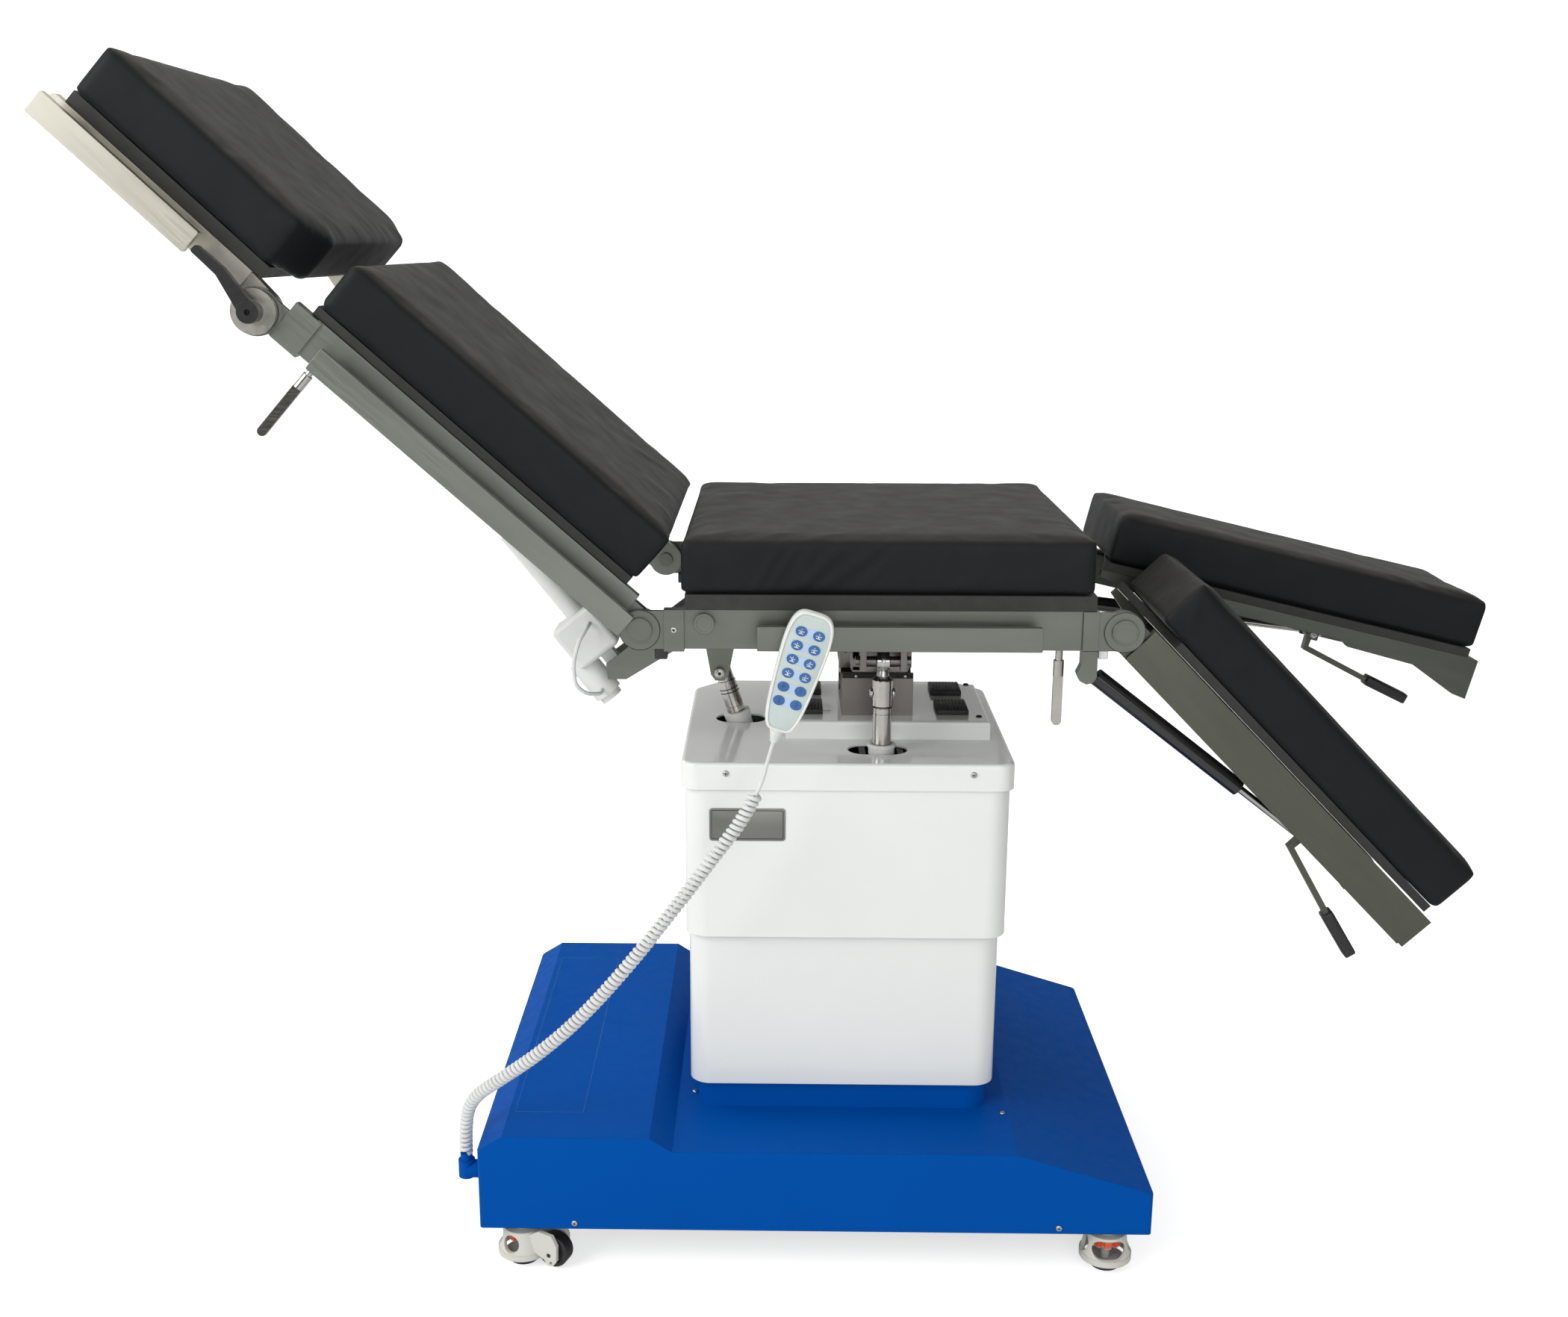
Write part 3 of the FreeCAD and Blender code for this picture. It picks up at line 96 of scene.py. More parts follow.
def evaluated_mesh(obj):
    """The object's mesh with its modifiers or its curve worked out."""
    bpy.context.view_layer.update()
    return bpy.data.meshes.new_from_object(obj.evaluated_get(bpy.context.evaluated_depsgraph_get()))


def circle(radius, height, count):
    turns = [2 * math.pi * k / count for k in range(count)]
    return [(radius * math.cos(turn), radius * math.sin(turn), height) for turn in turns]


def skin(layers, ends_first=False):
    """Mesh through equal loops of points, closed at both ends."""
    bm = bmesh.new()
    loops = [[bm.verts.new(point) for point in layer] for layer in layers]
    ends = [loops[0][::-1], loops[-1]]
    sides = [(one[k], one[(k + 1) % len(one)], two[(k + 1) % len(one)], two[k])
             for one, two in zip(loops, loops[1:]) for k in range(len(one))]
    for face in ends + sides if ends_first else sides + ends:
        bm.faces.new(face)
    return bm


def lathe(profile, segments):
    """Turned piece from (radius, height) pairs."""
    return skin([circle(radius, height, segments) for radius, height in profile])


def block(size, bevel, matrix):
    """Block round the origin, bevelled and then carried by the matrix."""
    bm = bmesh.new()
    bmesh.ops.create_cube(bm, size=1.0)
    bmesh.ops.scale(bm, vec=Vector(size), verts=bm.verts)
    if bevel:
        bmesh.ops.bevel(bm, geom=bm.edges[:], offset=bevel, segments=2, affect="EDGES", profile=0.5)
    bm.transform(matrix)
    return bm


def prism(outline, low, high, bevel=0.0):
    """Outline pushed up from low to high, edges bevelled."""
    bm = skin([[(x, y, height) for x, y in outline] for height in (low, high)], ends_first=True)
    bmesh.ops.recalc_face_normals(bm, faces=bm.faces)
    if bevel:
        bmesh.ops.bevel(bm, geom=bm.edges[:], offset=bevel, segments=3, affect="EDGES", profile=0.5)
    return bm


def join(target, *others):
    """Adds other meshes to the first."""
    for other in others:
        part = bpy.data.meshes.new("part")
        other.to_mesh(part)
        other.free()
        target.from_mesh(part)
        bpy.data.meshes.remove(part)
    return target


print("mesh helpers ready")

# %% [markdown]
# The camera was solved from the straight edges of the table. Its lens is 39 mm on a 36 mm sensor. It stands 2.29 m
# in front of the table's middle plane and 1.31 m above the floor, and looks 14 degrees down.

# %% Camera
CAMERA_PLACE = (-0.0472, -2.2861, 1.3125)
CAMERA_YAW, CAMERA_PITCH, CAMERA_ROLL = -0.9, 14.1, 0.1
CAMERA_LENS, CAMERA_SENSOR = 39.07, 36
CAMERA_SHIFT = (0.01814, 0.00657)


def make_camera():
    yaw, pitch, roll = (math.radians(angle) for angle in (CAMERA_YAW, CAMERA_PITCH, CAMERA_ROLL))
    forward = Vector((math.sin(yaw) * math.cos(pitch), math.cos(yaw) * math.cos(pitch), -math.sin(pitch)))
    level = forward.cross(Vector((0, 0, 1))).normalized()
    upright = level.cross(forward)
    right = level * math.cos(roll) + upright * math.sin(roll)
    up = upright * math.cos(roll) - level * math.sin(roll)
    data = bpy.data.cameras.new("camera")
    data.sensor_width, data.lens = CAMERA_SENSOR, CAMERA_LENS
    data.shift_x, data.shift_y = CAMERA_SHIFT
    data.clip_start, data.clip_end = 0.05, 60
    made = bpy.data.objects.new("camera", data)
    turn = Matrix((right, up, -forward)).transposed().to_4x4()
    made.matrix_world = Matrix.Translation(CAMERA_PLACE) @ turn
    bpy.context.scene.collection.objects.link(made)
    bpy.context.scene.camera = made
    return made


print("camera at", tuple(round(v, 3) for v in make_camera().location))

# %% [markdown]
# A pale floor that turns up into a pale wall, plain soft lamps and an even sky. Gloss sees a darker room than the
# camera does, with soft upright streaks, so that metal keeps its depth against the white ground.

# %% Stage and light
GLOSS_BY_HEIGHT = ((0.0, 0.10), (0.46, 0.16), (0.54, 0.30), (0.72, 0.62), (1.0, 0.95))
GLOSS_STREAKS = ((0.0, 0.45), (0.16, 1.0), (0.34, 0.22), (0.46, 0.75), (0.60, 1.15), (0.70, 0.18), (1.0, 0.5))
STREAK_SHARE = 0.8
WHITE = (1, 1, 1, 1)
SKY_COLOR, SKY_STRENGTH = (1.0, 1.0, 0.985, 1), 0.55
FLOOR_COLOR, FLOOR_GLOW = (0.80, 0.80, 0.805, 1), 0.62
FLOOR_FRONT, FLOOR_HALF_WIDTH, WALL_TOP = -6.0, 12, 8.0
BEND_START, BEND_RADIUS, BEND_STEPS = 2.6, 1.6, 24
# Sockets of a Mix node that mixes colours
MIX_FIRST, MIX_SECOND, MIX_RESULT = 6, 7, 2


def make_world():
    world = bpy.data.worlds.new("studio")
    bpy.context.scene.world = world
    world.use_nodes = True
    nodes, links = world.node_tree.nodes, world.node_tree.links
    nodes.clear()

    def background(color, strength=1.0):
        node = nodes.new("ShaderNodeBackground")
        node.inputs["Color"].default_value = color
        node.inputs["Strength"].default_value = strength
        return node

    def grey_ramp(value, stops):
        """Greys along a value from -1 to 1."""
        ramp = nodes.new("ShaderNodeValToRGB")
        elements = ramp.color_ramp.elements
        elements[0].position, elements[1].position = stops[0][0], stops[-1][0]
        for position, _ in stops[1:-1]:
            elements.new(position)
        for element, (_, grey) in zip(elements, stops):
            element.color = (grey, grey, grey, 1)
        raised = nodes.new("ShaderNodeMapRange")
        raised.inputs["From Min"].default_value = -1
        links.new(value, raised.inputs["Value"])
        links.new(raised.outputs[0], ramp.inputs[0])
        return ramp.outputs[0]

    split = nodes.new("ShaderNodeSeparateXYZ")
    links.new(nodes.new("ShaderNodeTexCoord").outputs["Generated"], split.inputs[0])
    streaked = nodes.new("ShaderNodeMix")
    streaked.data_type = "RGBA"
    streaked.blend_type = "MULTIPLY"
    streaked.inputs[0].default_value = STREAK_SHARE
    links.new(grey_ramp(split.outputs["Z"], GLOSS_BY_HEIGHT), streaked.inputs[MIX_FIRST])
    links.new(grey_ramp(split.outputs["X"], GLOSS_STREAKS), streaked.inputs[MIX_SECOND])
    gloss = background(WHITE)
    links.new(streaked.outputs[MIX_RESULT], gloss.inputs["Color"])
    path = nodes.new("ShaderNodeLightPath")
    shown = background(SKY_COLOR, SKY_STRENGTH).outputs[0]
    for ray, other in (("Is Glossy Ray", gloss), ("Is Camera Ray", background(WHITE))):
        mix = nodes.new("ShaderNodeMixShader")
        links.new(path.outputs[ray], mix.inputs[0])
        links.new(shown, mix.inputs[1])
        links.new(other.outputs[0], mix.inputs[2])
        shown = mix.outputs[0]
    links.new(shown, nodes.new("ShaderNodeOutputWorld").inputs["Surface"])


def make_floor():
    rows = [(FLOOR_FRONT, 0.0)]
    for k in range(BEND_STEPS + 1):
        turn = math.pi / 2 * k / BEND_STEPS
        rows.append((BEND_START + BEND_RADIUS * math.sin(turn), BEND_RADIUS * (1 - math.cos(turn))))
    rows.append((BEND_START + BEND_RADIUS, WALL_TOP))
    bm = bmesh.new()
    lines = [[bm.verts.new((x, y, z)) for x in (-FLOOR_HALF_WIDTH, FLOOR_HALF_WIDTH)] for y, z in rows]
    for low, high in zip(lines, lines[1:]):
        bm.faces.new((low[0], low[1], high[1], high[0]))
    mat = bpy.data.materials.new("floor_paper")
    mat.use_nodes = True
    nodes, links = mat.node_tree.nodes, mat.node_tree.links
    bsdf = nodes["Principled BSDF"]
    for socket, value in (("Base Color", FLOOR_COLOR), ("Roughness", 0.9), ("Specular IOR Level", 0.1),
                          ("Emission Color", WHITE)):
        bsdf.inputs[socket].default_value = value
    lift = nodes.new("ShaderNodeMath")
    lift.operation = "MULTIPLY"
    lift.inputs[1].default_value = FLOOR_GLOW
    links.new(nodes.new("ShaderNodeLightPath").outputs["Is Camera Ray"], lift.inputs[0])
    links.new(lift.outputs[0], bsdf.inputs["Emission Strength"])
    mesh_object("floor", bm, mat)


def lamp(name, place, target, size, power, tint=(1, 1, 1)):
    data = bpy.data.lights.new(name, "AREA")
    data.shape = "RECTANGLE"
    data.size, data.size_y = size
    data.energy = power
    data.color = tint
    obj = bpy.data.objects.new(name, data)
    obj.location = place
    obj.rotation_euler = (Vector(target) - Vector(place)).to_track_quat("-Z", "Y").to_euler()
    bpy.context.scene.collection.objects.link(obj)


make_world()
make_floor()
lamp("key", (-2.9, -2.2, 2.4), (0, 0, 0.6), (2.4, 2.0), 74, (1.0, 0.995, 0.98))
lamp("fill", (0.6, -3.4, 1.5), (0.1, 0, 0.6), (2.6, 2.0), 30)
lamp("overhead", (-0.7, 0.4, 3.4), (0, 0, 0.6), (3.0, 2.0), 22, (1.0, 0.98, 0.94))
lamp("rear", (-2.6, 1.4, 1.5), (-0.3, 0, 0.4), (2.0, 1.2), 22)
bpy.context.scene.view_settings.view_transform = "Standard"

# %% [markdown]
# Every material is built from nodes. Object coordinates are metres, because each solid sits at the origin, so a
# scale of 1000 is one feature a millimetre.

# %% Materials


class Paint:
    """A material with short calls for the usual nodes."""

    def __init__(self, name, color, roughness, metallic=0.0, **sockets):
        self.mat = bpy.data.materials.new(name)
        self.mat.use_nodes = True
        self.nodes, self.links = self.mat.node_tree.nodes, self.mat.node_tree.links
        self.bsdf = self.nodes["Principled BSDF"]
        self.bsdf.inputs["Base Color"].default_value = (*color, 1)
        self.bsdf.inputs["Roughness"].default_value = roughness
        self.bsdf.inputs["Metallic"].default_value = metallic
        for key, value in sockets.items():
            self.bsdf.inputs[key.replace("_", " ")].default_value = value
        self.height = None
        self.coordinates = self.nodes.new("ShaderNodeTexCoord").outputs["Object"]

    def soft_edges(self, radius):
        """Sharp edges catch light as if broken by a small radius."""
        node = self.nodes.new("ShaderNodeBevel")
        node.samples = 4
        node.inputs["Radius"].default_value = radius
        self.height = node.outputs[0]

    def mapped(self, scale=(1, 1, 1), turn=0.0):
        turned = self.nodes.new("ShaderNodeMapping")
        turned.inputs["Rotation"].default_value = (0, math.radians(-turn), 0)
        self.links.new(self.coordinates, turned.inputs["Vector"])
        stretched = self.nodes.new("ShaderNodeMapping")
        stretched.inputs["Scale"].default_value = scale
        self.links.new(turned.outputs[0], stretched.inputs["Vector"])
        return stretched.outputs[0]

    def noise(self, scale, detail=3.0, rough=0.55, vector=None):
        node = self.nodes.new("ShaderNodeTexNoise")
        node.inputs["Scale"].default_value = scale
        node.inputs["Detail"].default_value = detail
        node.inputs["Roughness"].default_value = rough
        self.links.new(vector or self.mapped(), node.inputs["Vector"])
        return node.outputs[0]

    def cells(self, scale):
        node = self.nodes.new("ShaderNodeTexVoronoi")
        node.inputs["Scale"].default_value = scale
        self.links.new(self.mapped(), node.inputs["Vector"])
        return node.outputs["Distance"]

    def spread(self, value, low, high, start=0.3, end=0.7):
        node = self.nodes.new("ShaderNodeMapRange")
        for key, number in (("From Min", start), ("From Max", end), ("To Min", low), ("To Max", high)):
            node.inputs[key].default_value = number
        self.links.new(value, node.inputs["Value"])
        return node.outputs[0]

    def vary_color(self, value, first, second):
        node = self.nodes.new("ShaderNodeMix")
        node.data_type = "RGBA"
        node.inputs[MIX_FIRST].default_value = (*first, 1)
        node.inputs[MIX_SECOND].default_value = (*second, 1)
        self.links.new(value, node.inputs[0])
        self.links.new(node.outputs[MIX_RESULT], self.bsdf.inputs["Base Color"])

    def vary_roughness(self, value, low, high):
        self.links.new(self.spread(value, low, high), self.bsdf.inputs["Roughness"])

    def bump(self, value, strength, distance):
        node = self.nodes.new("ShaderNodeBump")
        node.inputs["Strength"].default_value = strength
        node.inputs["Distance"].default_value = distance
        self.links.new(value, node.inputs["Height"])
        if self.height is not None:
            self.links.new(self.height, node.inputs["Normal"])
        self.height = node.outputs[0]
        self.links.new(self.height, self.bsdf.inputs["Normal"])


def shaded(color, share):
    return tuple(c * share for c in color)


def powder_coat(name, color, roughness, deep=0.96, shine=0.3):
    """Satin powder paint with fine orange peel and hardly any blotches."""
    paint = Paint(name, color, roughness, Specular_IOR_Level=shine)
    paint.soft_edges(0.0012)
    paint.vary_color(paint.spread(paint.noise(9, 4), 0, 1), shaded(color, deep), color)
    paint.vary_roughness(paint.noise(60, 4), roughness - 0.07, roughness + 0.08)
    paint.bump(paint.noise(900, 2), 0.10, 0.0003)
    return paint.mat


def gloss_paint(name, color):
    """Stoved gloss enamel: nearly even, with a long soft ripple."""
    paint = Paint(name, color, 0.14, Coat_Weight=0.35, Coat_Roughness=0.06)
    paint.soft_edges(0.0008)
    paint.vary_color(paint.spread(paint.noise(5, 3), 0, 1), shaded(color, 0.97), color)
    paint.vary_roughness(paint.noise(40, 4), 0.10, 0.20)
    paint.bump(paint.noise(120, 2), 0.03, 0.0004)
    return paint.mat


def brushed(name, angle, color, roughness):
    """Stainless sheet, brushed along the section's own length."""
    paint = Paint(name, color, roughness, 1.0)
    paint.soft_edges(0.0008)
    lines = paint.noise(1, 5, 0.6, paint.mapped((14, 900, 900), angle))
    smears = paint.noise(1, 3, 0.5, paint.mapped((5, 26, 26), angle))
    paint.vary_color(paint.spread(smears, 0, 1), shaded(color, 0.90), shaded(color, 1.05))
    paint.vary_roughness(lines, roughness - 0.07, roughness + 0.08)
    paint.bump(lines, 0.035, 0.0001)
    return paint.mat


def polished(name, color, roughness):
    """Ground and polished round bar: faint rings of the grinding."""
    paint = Paint(name, color, roughness, 1.0)
    paint.soft_edges(0.0005)
    rings = paint.noise(1, 3, 0.5, paint.mapped((60, 60, 900)))
    paint.vary_roughness(rings, roughness - 0.04, roughness + 0.06)
    paint.vary_color(paint.spread(paint.noise(30, 3), 0, 1), shaded(color, 0.93), color)
    paint.bump(rings, 0.008, 0.0001)
    return paint.mat


def moulded(name, color, roughness):
    """Moulded plastic or rubber with a spark-eroded grain."""
    paint = Paint(name, color, roughness)
    paint.soft_edges(0.0006)
    paint.vary_color(paint.spread(paint.noise(25, 4), 0, 1), shaded(color, 0.90), color)
    paint.vary_roughness(paint.noise(80, 4), roughness - 0.08, roughness + 0.08)
    paint.bump(paint.noise(1400, 2), 0.12, 0.0002)
    return paint.mat


def coated_fabric(name):
    """Black polyurethane-coated cloth: pebbled grain, faint sheen, and painted light: browner tops, darker sides.
    """
    paint = Paint(name, (0.010, 0.0105, 0.012), 0.55, Sheen_Weight=0.03, Specular_IOR_Level=0.24)
    facing_up = paint.nodes.new("ShaderNodeSeparateXYZ")
    paint.links.new(paint.nodes.new("ShaderNodeTexCoord").outputs["Normal"], facing_up.inputs[0])
    # Painted light: a lighter brown on faces turned upwards and a darker blue-grey on the sides, by which way each
    # face points.
    top = paint.spread(facing_up.outputs["Z"], 0, 1, 0.35, 0.75)
    paint.vary_color(top, (0.0040, 0.0050, 0.0062), (0.0090, 0.0080, 0.0055))
    paint.vary_roughness(paint.noise(24, 4), 0.50, 0.62)
    paint.bump(paint.noise(14, 3), 0.05, 0.003)
    paint.bump(paint.cells(1300), 0.14, 0.0002)
    return paint.mat


MATERIALS = {
    "blue": powder_coat("blue_paint", (0.0, 0.075, 0.370), 0.5, 0.97, 0.03),
    # Painted highlight: a lighter blue for the lit edges of the lid's seam.
    "seam_highlight": powder_coat("painted_seam_highlight", (0.03, 0.16, 0.55), 0.5),
    "dark_steel": powder_coat("dark_steel", (0.045, 0.047, 0.05), 0.5),
    "white": gloss_paint("white_gloss", (0.785, 0.80, 0.785)),
    # Painted light: the five section steels are one brushed steel in lit and shaded tones, lightest on the head
    # and darkest on the legs, by how light falls on each section.
    "seat_steel": brushed("seat_steel", 0, (0.19, 0.20, 0.175), 0.40),
    "back_steel": brushed("back_steel", BACK_ANGLE, (0.25, 0.265, 0.235), 0.40),
    "head_steel": brushed("head_steel", HEAD_ANGLE, (0.58, 0.56, 0.49), 0.40),
    "near_leg_steel": brushed("near_leg_steel", NEAR_LEG_ANGLE, (0.125, 0.13, 0.105), 0.42),
    "far_leg_steel": brushed("far_leg_steel", FAR_LEG_ANGLE, (0.12, 0.125, 0.11), 0.42),
    "block_steel": brushed("block_steel", 90, (0.205, 0.19, 0.178), 0.36),
    "polished": polished("polished_steel", (0.50, 0.485, 0.46), 0.17),
    "pad": coated_fabric("pad_cover"),
    "board": moulded("dark_board", (0.022, 0.022, 0.021), 0.6),
    "ivory": powder_coat("cast_ivory", (0.66, 0.66, 0.60), 0.45, 0.9),
    "nylon": moulded("wheel_nylon", (0.018, 0.018, 0.019), 0.45),
    "housing": moulded("white_plastic", (0.70, 0.71, 0.69), 0.42),
    "handset": moulded("handset_plastic", (0.78, 0.79, 0.765), 0.4),
    "cord": moulded("cord_jacket", (0.70, 0.71, 0.70), 0.42),
    "spring": gloss_paint("spring_black", (0.012, 0.012, 0.013)),
    "collar": moulded("collar_plastic", (0.74, 0.74, 0.71), 0.4),
    "zinc": polished("zinc_screw", (0.55, 0.55, 0.54), 0.28),
    # Painted shade: the dark pieces set in screw drives, grooves, gaps and folds, where there is only shade.
    "dark": moulded("dark_recess", (0.008, 0.008, 0.009), 0.7),
    "rubber": moulded("ribbed_rubber", (0.022, 0.022, 0.023), 0.62),
    "plate": brushed("name_plate", 0, (0.24, 0.245, 0.225), 0.42),
    "pale_stop": moulded("bare_label", (0.72, 0.73, 0.72), 0.5),
    "face_green": moulded("membrane_face", (0.53, 0.61, 0.585), 0.45),
    "key_blue": moulded("membrane_key", (0.03, 0.125, 0.36), 0.42),
    "key_band": moulded("key_band", (0.46, 0.60, 0.80), 0.45),
    "pictogram": moulded("pictogram", (0.85, 0.87, 0.88), 0.5),
    "key_print": moulded("key_print", (0.05, 0.06, 0.09), 0.5),
}
print(len(MATERIALS), "materials")

# %% [markdown]
# The CAD solids whose shape is right stay, with these materials. A softened edge in each material catches light.

# %% Dress the CAD nodes
EXACT = {
    "blue": ("base_cover",), "dark_steel": ("base_frame", "moving_column"),
    "white": ("lower_sleeve", "upper_sleeve", "column_cap"), "block_steel": ("head_block", "tilt_yoke"),
    "housing": ("side_actuator_tube", "end_actuator_tube", "back_actuator"),
    "cord": ("actuator_lead", "cord_lead", "cord_coil"), "handset": ("handset_shell", "handset_keypad")}
# The first test that fits a node's name picks its material.
ENDS = (("_rod", "polished"), ("_pad", "pad"), ("_panel", "board"))
PARTS = (("clamp", "polished"), ("caster_housing", "ivory"), ("caster_wheel", "nylon"), ("gas_spring", "spring"))
SECTIONS = ("seat", "back", "head", "near_leg", "far_leg")
DISC_HALF_WIDTH = 0.2618
BARE_STEEL = (0.45, 0.45, 0.44)
FOOT_BANDS = ((0.0, (0.015, 0.015, 0.016)), (0.153, BARE_STEEL), (0.545, (0.75, 0.09, 0.03)), (0.675, BARE_STEEL))
FOOT_HEIGHT = 0.06


def foot_material():
    """One levelling foot: black pad below, bare spindle, orange star wheel. Height picks the part."""
    paint = Paint("levelling_foot", (0.02, 0.02, 0.02), 0.5)
    split = paint.nodes.new("ShaderNodeSeparateXYZ")
    paint.links.new(paint.coordinates, split.inputs[0])
    ramp = paint.nodes.new("ShaderNodeValToRGB")
    elements = ramp.color_ramp.elements
    ramp.color_ramp.interpolation = "CONSTANT"
    elements[1].position = FOOT_BANDS[1][0]
    for position, _ in FOOT_BANDS[2:]:
        elements.new(position)
    for element, (_, color) in zip(elements, FOOT_BANDS):
        element.color = (*color, 1)
    paint.links.new(paint.spread(split.outputs["Z"], 0, 1, 0.0, FOOT_HEIGHT), ramp.inputs[0])
    paint.links.new(ramp.outputs[0], paint.bsdf.inputs["Base Color"])
    paint.vary_roughness(paint.noise(80, 4), 0.4, 0.6)
    paint.bump(paint.noise(700, 2), 0.15, 0.0003)
    return paint.mat


def head_lever_material():
    """Black lever whose clamping disc against the bar is bright steel."""
    black = (0.012, 0.012, 0.013)
    paint = Paint("head_lever", black, 0.38)
    paint.soft_edges(0.0008)
    split = paint.nodes.new("ShaderNodeSeparateXYZ")
    paint.links.new(paint.coordinates, split.inputs[0])
    across, disc = (paint.nodes.new("ShaderNodeMath") for _ in range(2))
    across.operation, disc.operation = "ABSOLUTE", "LESS_THAN"
    disc.inputs[1].default_value = DISC_HALF_WIDTH
    paint.links.new(split.outputs["Y"], across.inputs[0])
    paint.links.new(across.outputs[0], disc.inputs[0])
    paint.vary_color(disc.outputs[0], black, (0.50, 0.49, 0.44))
    paint.links.new(disc.outputs[0], paint.bsdf.inputs["Metallic"])
    paint.vary_roughness(paint.noise(120, 3), 0.32, 0.42)
    paint.bump(paint.noise(900, 2), 0.05, 0.0002)
    return paint.mat


FOOT = foot_material()
HEAD_LEVER = head_lever_material()


def material_for(node):
    if node.startswith("levelling_foot"):
        return FOOT
    if node.startswith("head_lever"):
        return HEAD_LEVER
    keys = [key for key, nodes in EXACT.items() if node in nodes]
    keys += [key for end, key in ENDS if node.endswith(end)]
    keys += [key for part, key in PARTS if part in node]
    keys += [section + "_steel" for section in SECTIONS if node.startswith(section)]
    return MATERIALS[keys[0]]


for name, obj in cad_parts.items():
    obj.data.materials.clear()
    obj.data.materials.append(material_for(name))
    shade(obj, 35)
print("dressed", len(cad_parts), "nodes")

# %% [markdown]
# The handset's cord. Its route repeats the points of the solid, and a smooth spline through them carries the
# helix. The cord crosses three joints, so it is made of three pieces that meet end to end.

# %% Cord
LEAD_ROUTE = [(-56.5, -302, 722.3), (-63.7, -302, 699.4), (-68.9, -301.4, 672.6), (-78, -304, 655)]
COIL_ROUTE = [(-78, -304, 655), (-94, -308.5, 624), (-121, -316, 590), (-172, -324, 522), (-232, -328, 443),
              (-295, -326, 368), (-352, -318, 313), (-404, -303, 270), (-449, -277, 228), (-461, -262, 182),
              (-461, -262, 142)]
ROUTE_STEP = 0.002
UPPER_SHARE = 0.42
HELIX_RADIUS, HELIX_WIRE, HELIX_PITCH, HELIX_STEPS = 0.0091, 0.0030, 0.0071, 16
LEAD_RADIUS = 0.0024


def spline_points(name, route):
    """The points of a smooth spline with the route's points as its control points."""
    data = bpy.data.curves.new(name, "CURVE")
    data.dimensions = "3D"
    spline = data.splines.new("NURBS")
    spline.points.add(len(route) - 1)
    for point, place in zip(spline.points, route):
        point.co = (*(Vector(place) * MM), 1)
    spline.order_u = 3
    spline.use_endpoint_u = True
    spline.resolution_u = 24
    obj = bpy.data.objects.new(name, data)
    bpy.context.scene.collection.objects.link(obj)
    points = [v.co.copy() for v in evaluated_mesh(obj).vertices]
    bpy.data.objects.remove(obj)
    return points


def run_length(line):
    return np.linalg.norm(np.diff(line, axis=0), axis=1).sum()


def even(points):
    """The same line at even steps."""
    line = np.array([tuple(p) for p in points])
    run = np.concatenate([[0], np.cumsum(np.linalg.norm(np.diff(line, axis=0), axis=1))])
    count = max(2, int(round(run[-1] / ROUTE_STEP)) + 1)
    where = np.linspace(0, run[-1], count)
    return np.stack([np.interp(where, run, line[:, k]) for k in range(3)], 1), run[-1]


def frames_along(line):
    """Two side vectors at each point, carried along without twist."""
    tangents = np.gradient(line, axis=0)
    tangents /= np.linalg.norm(tangents, axis=1)[:, None]
    side = np.cross(tangents[0], (0, 0, 1.0))
    side /= np.linalg.norm(side)
    sides = []
    for tangent in tangents:
        side = side - tangent * (side @ tangent)
        side /= np.linalg.norm(side)
        sides.append(side.copy())
    sides = np.array(sides)
    return sides, np.cross(tangents, sides)


def tube_mesh(name, line, radius, sides):
    across, up = frames_along(line)
    layers = [[place + x * right + y * rise for x, y, _ in circle(radius, 0, sides)]
              for place, right, rise in zip(line, across, up)]
    return mesh_object(name, skin(layers), MATERIALS["cord"], smooth=60)


def curly(line):
    """Helix round a centreline, as points."""
    turns = run_length(line) / HELIX_PITCH
    count = int(turns * HELIX_STEPS)
    where = np.linspace(0, len(line) - 1, count)
    base = np.stack([np.interp(where, np.arange(len(line)), line[:, k]) for k in range(3)], 1)
    across, up = frames_along(base)
    angle = 2 * math.pi * turns * np.linspace(0, 1, count)
    reach = HELIX_RADIUS - HELIX_WIRE
    return base + reach * (np.cos(angle)[:, None] * across + np.sin(angle)[:, None] * up)


def make_cords():
    coil_line, coil_length = even(spline_points("coil_route", COIL_ROUTE))
    lead_line, lead_length = even(spline_points("lead_route", LEAD_ROUTE))
    split = int(len(coil_line) * UPPER_SHARE)
    for name, line, bodies in (("cord_coil_upper", coil_line[:split + 1], ("column_head", "yoke")),
                               ("cord_coil_lower", coil_line[split:], ("base", "column_head"))):
        piece = tube_mesh(name, curly(line), HELIX_WIRE, 8)
        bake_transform(piece)
    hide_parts("cord_coil")
    lead = tube_mesh("handset_lead", lead_line, LEAD_RADIUS, 12)
    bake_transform(lead)
    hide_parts("cord_lead")
    print("coil", round(coil_length, 3), "lead", round(lead_length, 3))


make_cords()

# %% [markdown]
# Screws, collars and trim. `facing` gives a matrix whose Z axis points out of a surface, so each fitting is made
# lying flat at the origin and then set in its place.

# %% Fittings
FRONT, UP = (0, -1, 0), (0, 0, 1)


def facing(place, normal, along=UP, matrix=SEAT):
    out = Vector(normal).normalized()
    up = Vector(along) - out * Vector(along).dot(out)
    up.normalize()
    turn = Matrix((up.cross(out), up, out)).transposed().to_4x4()
    return matrix @ Matrix.Translation(Vector(place) * MM) @ turn


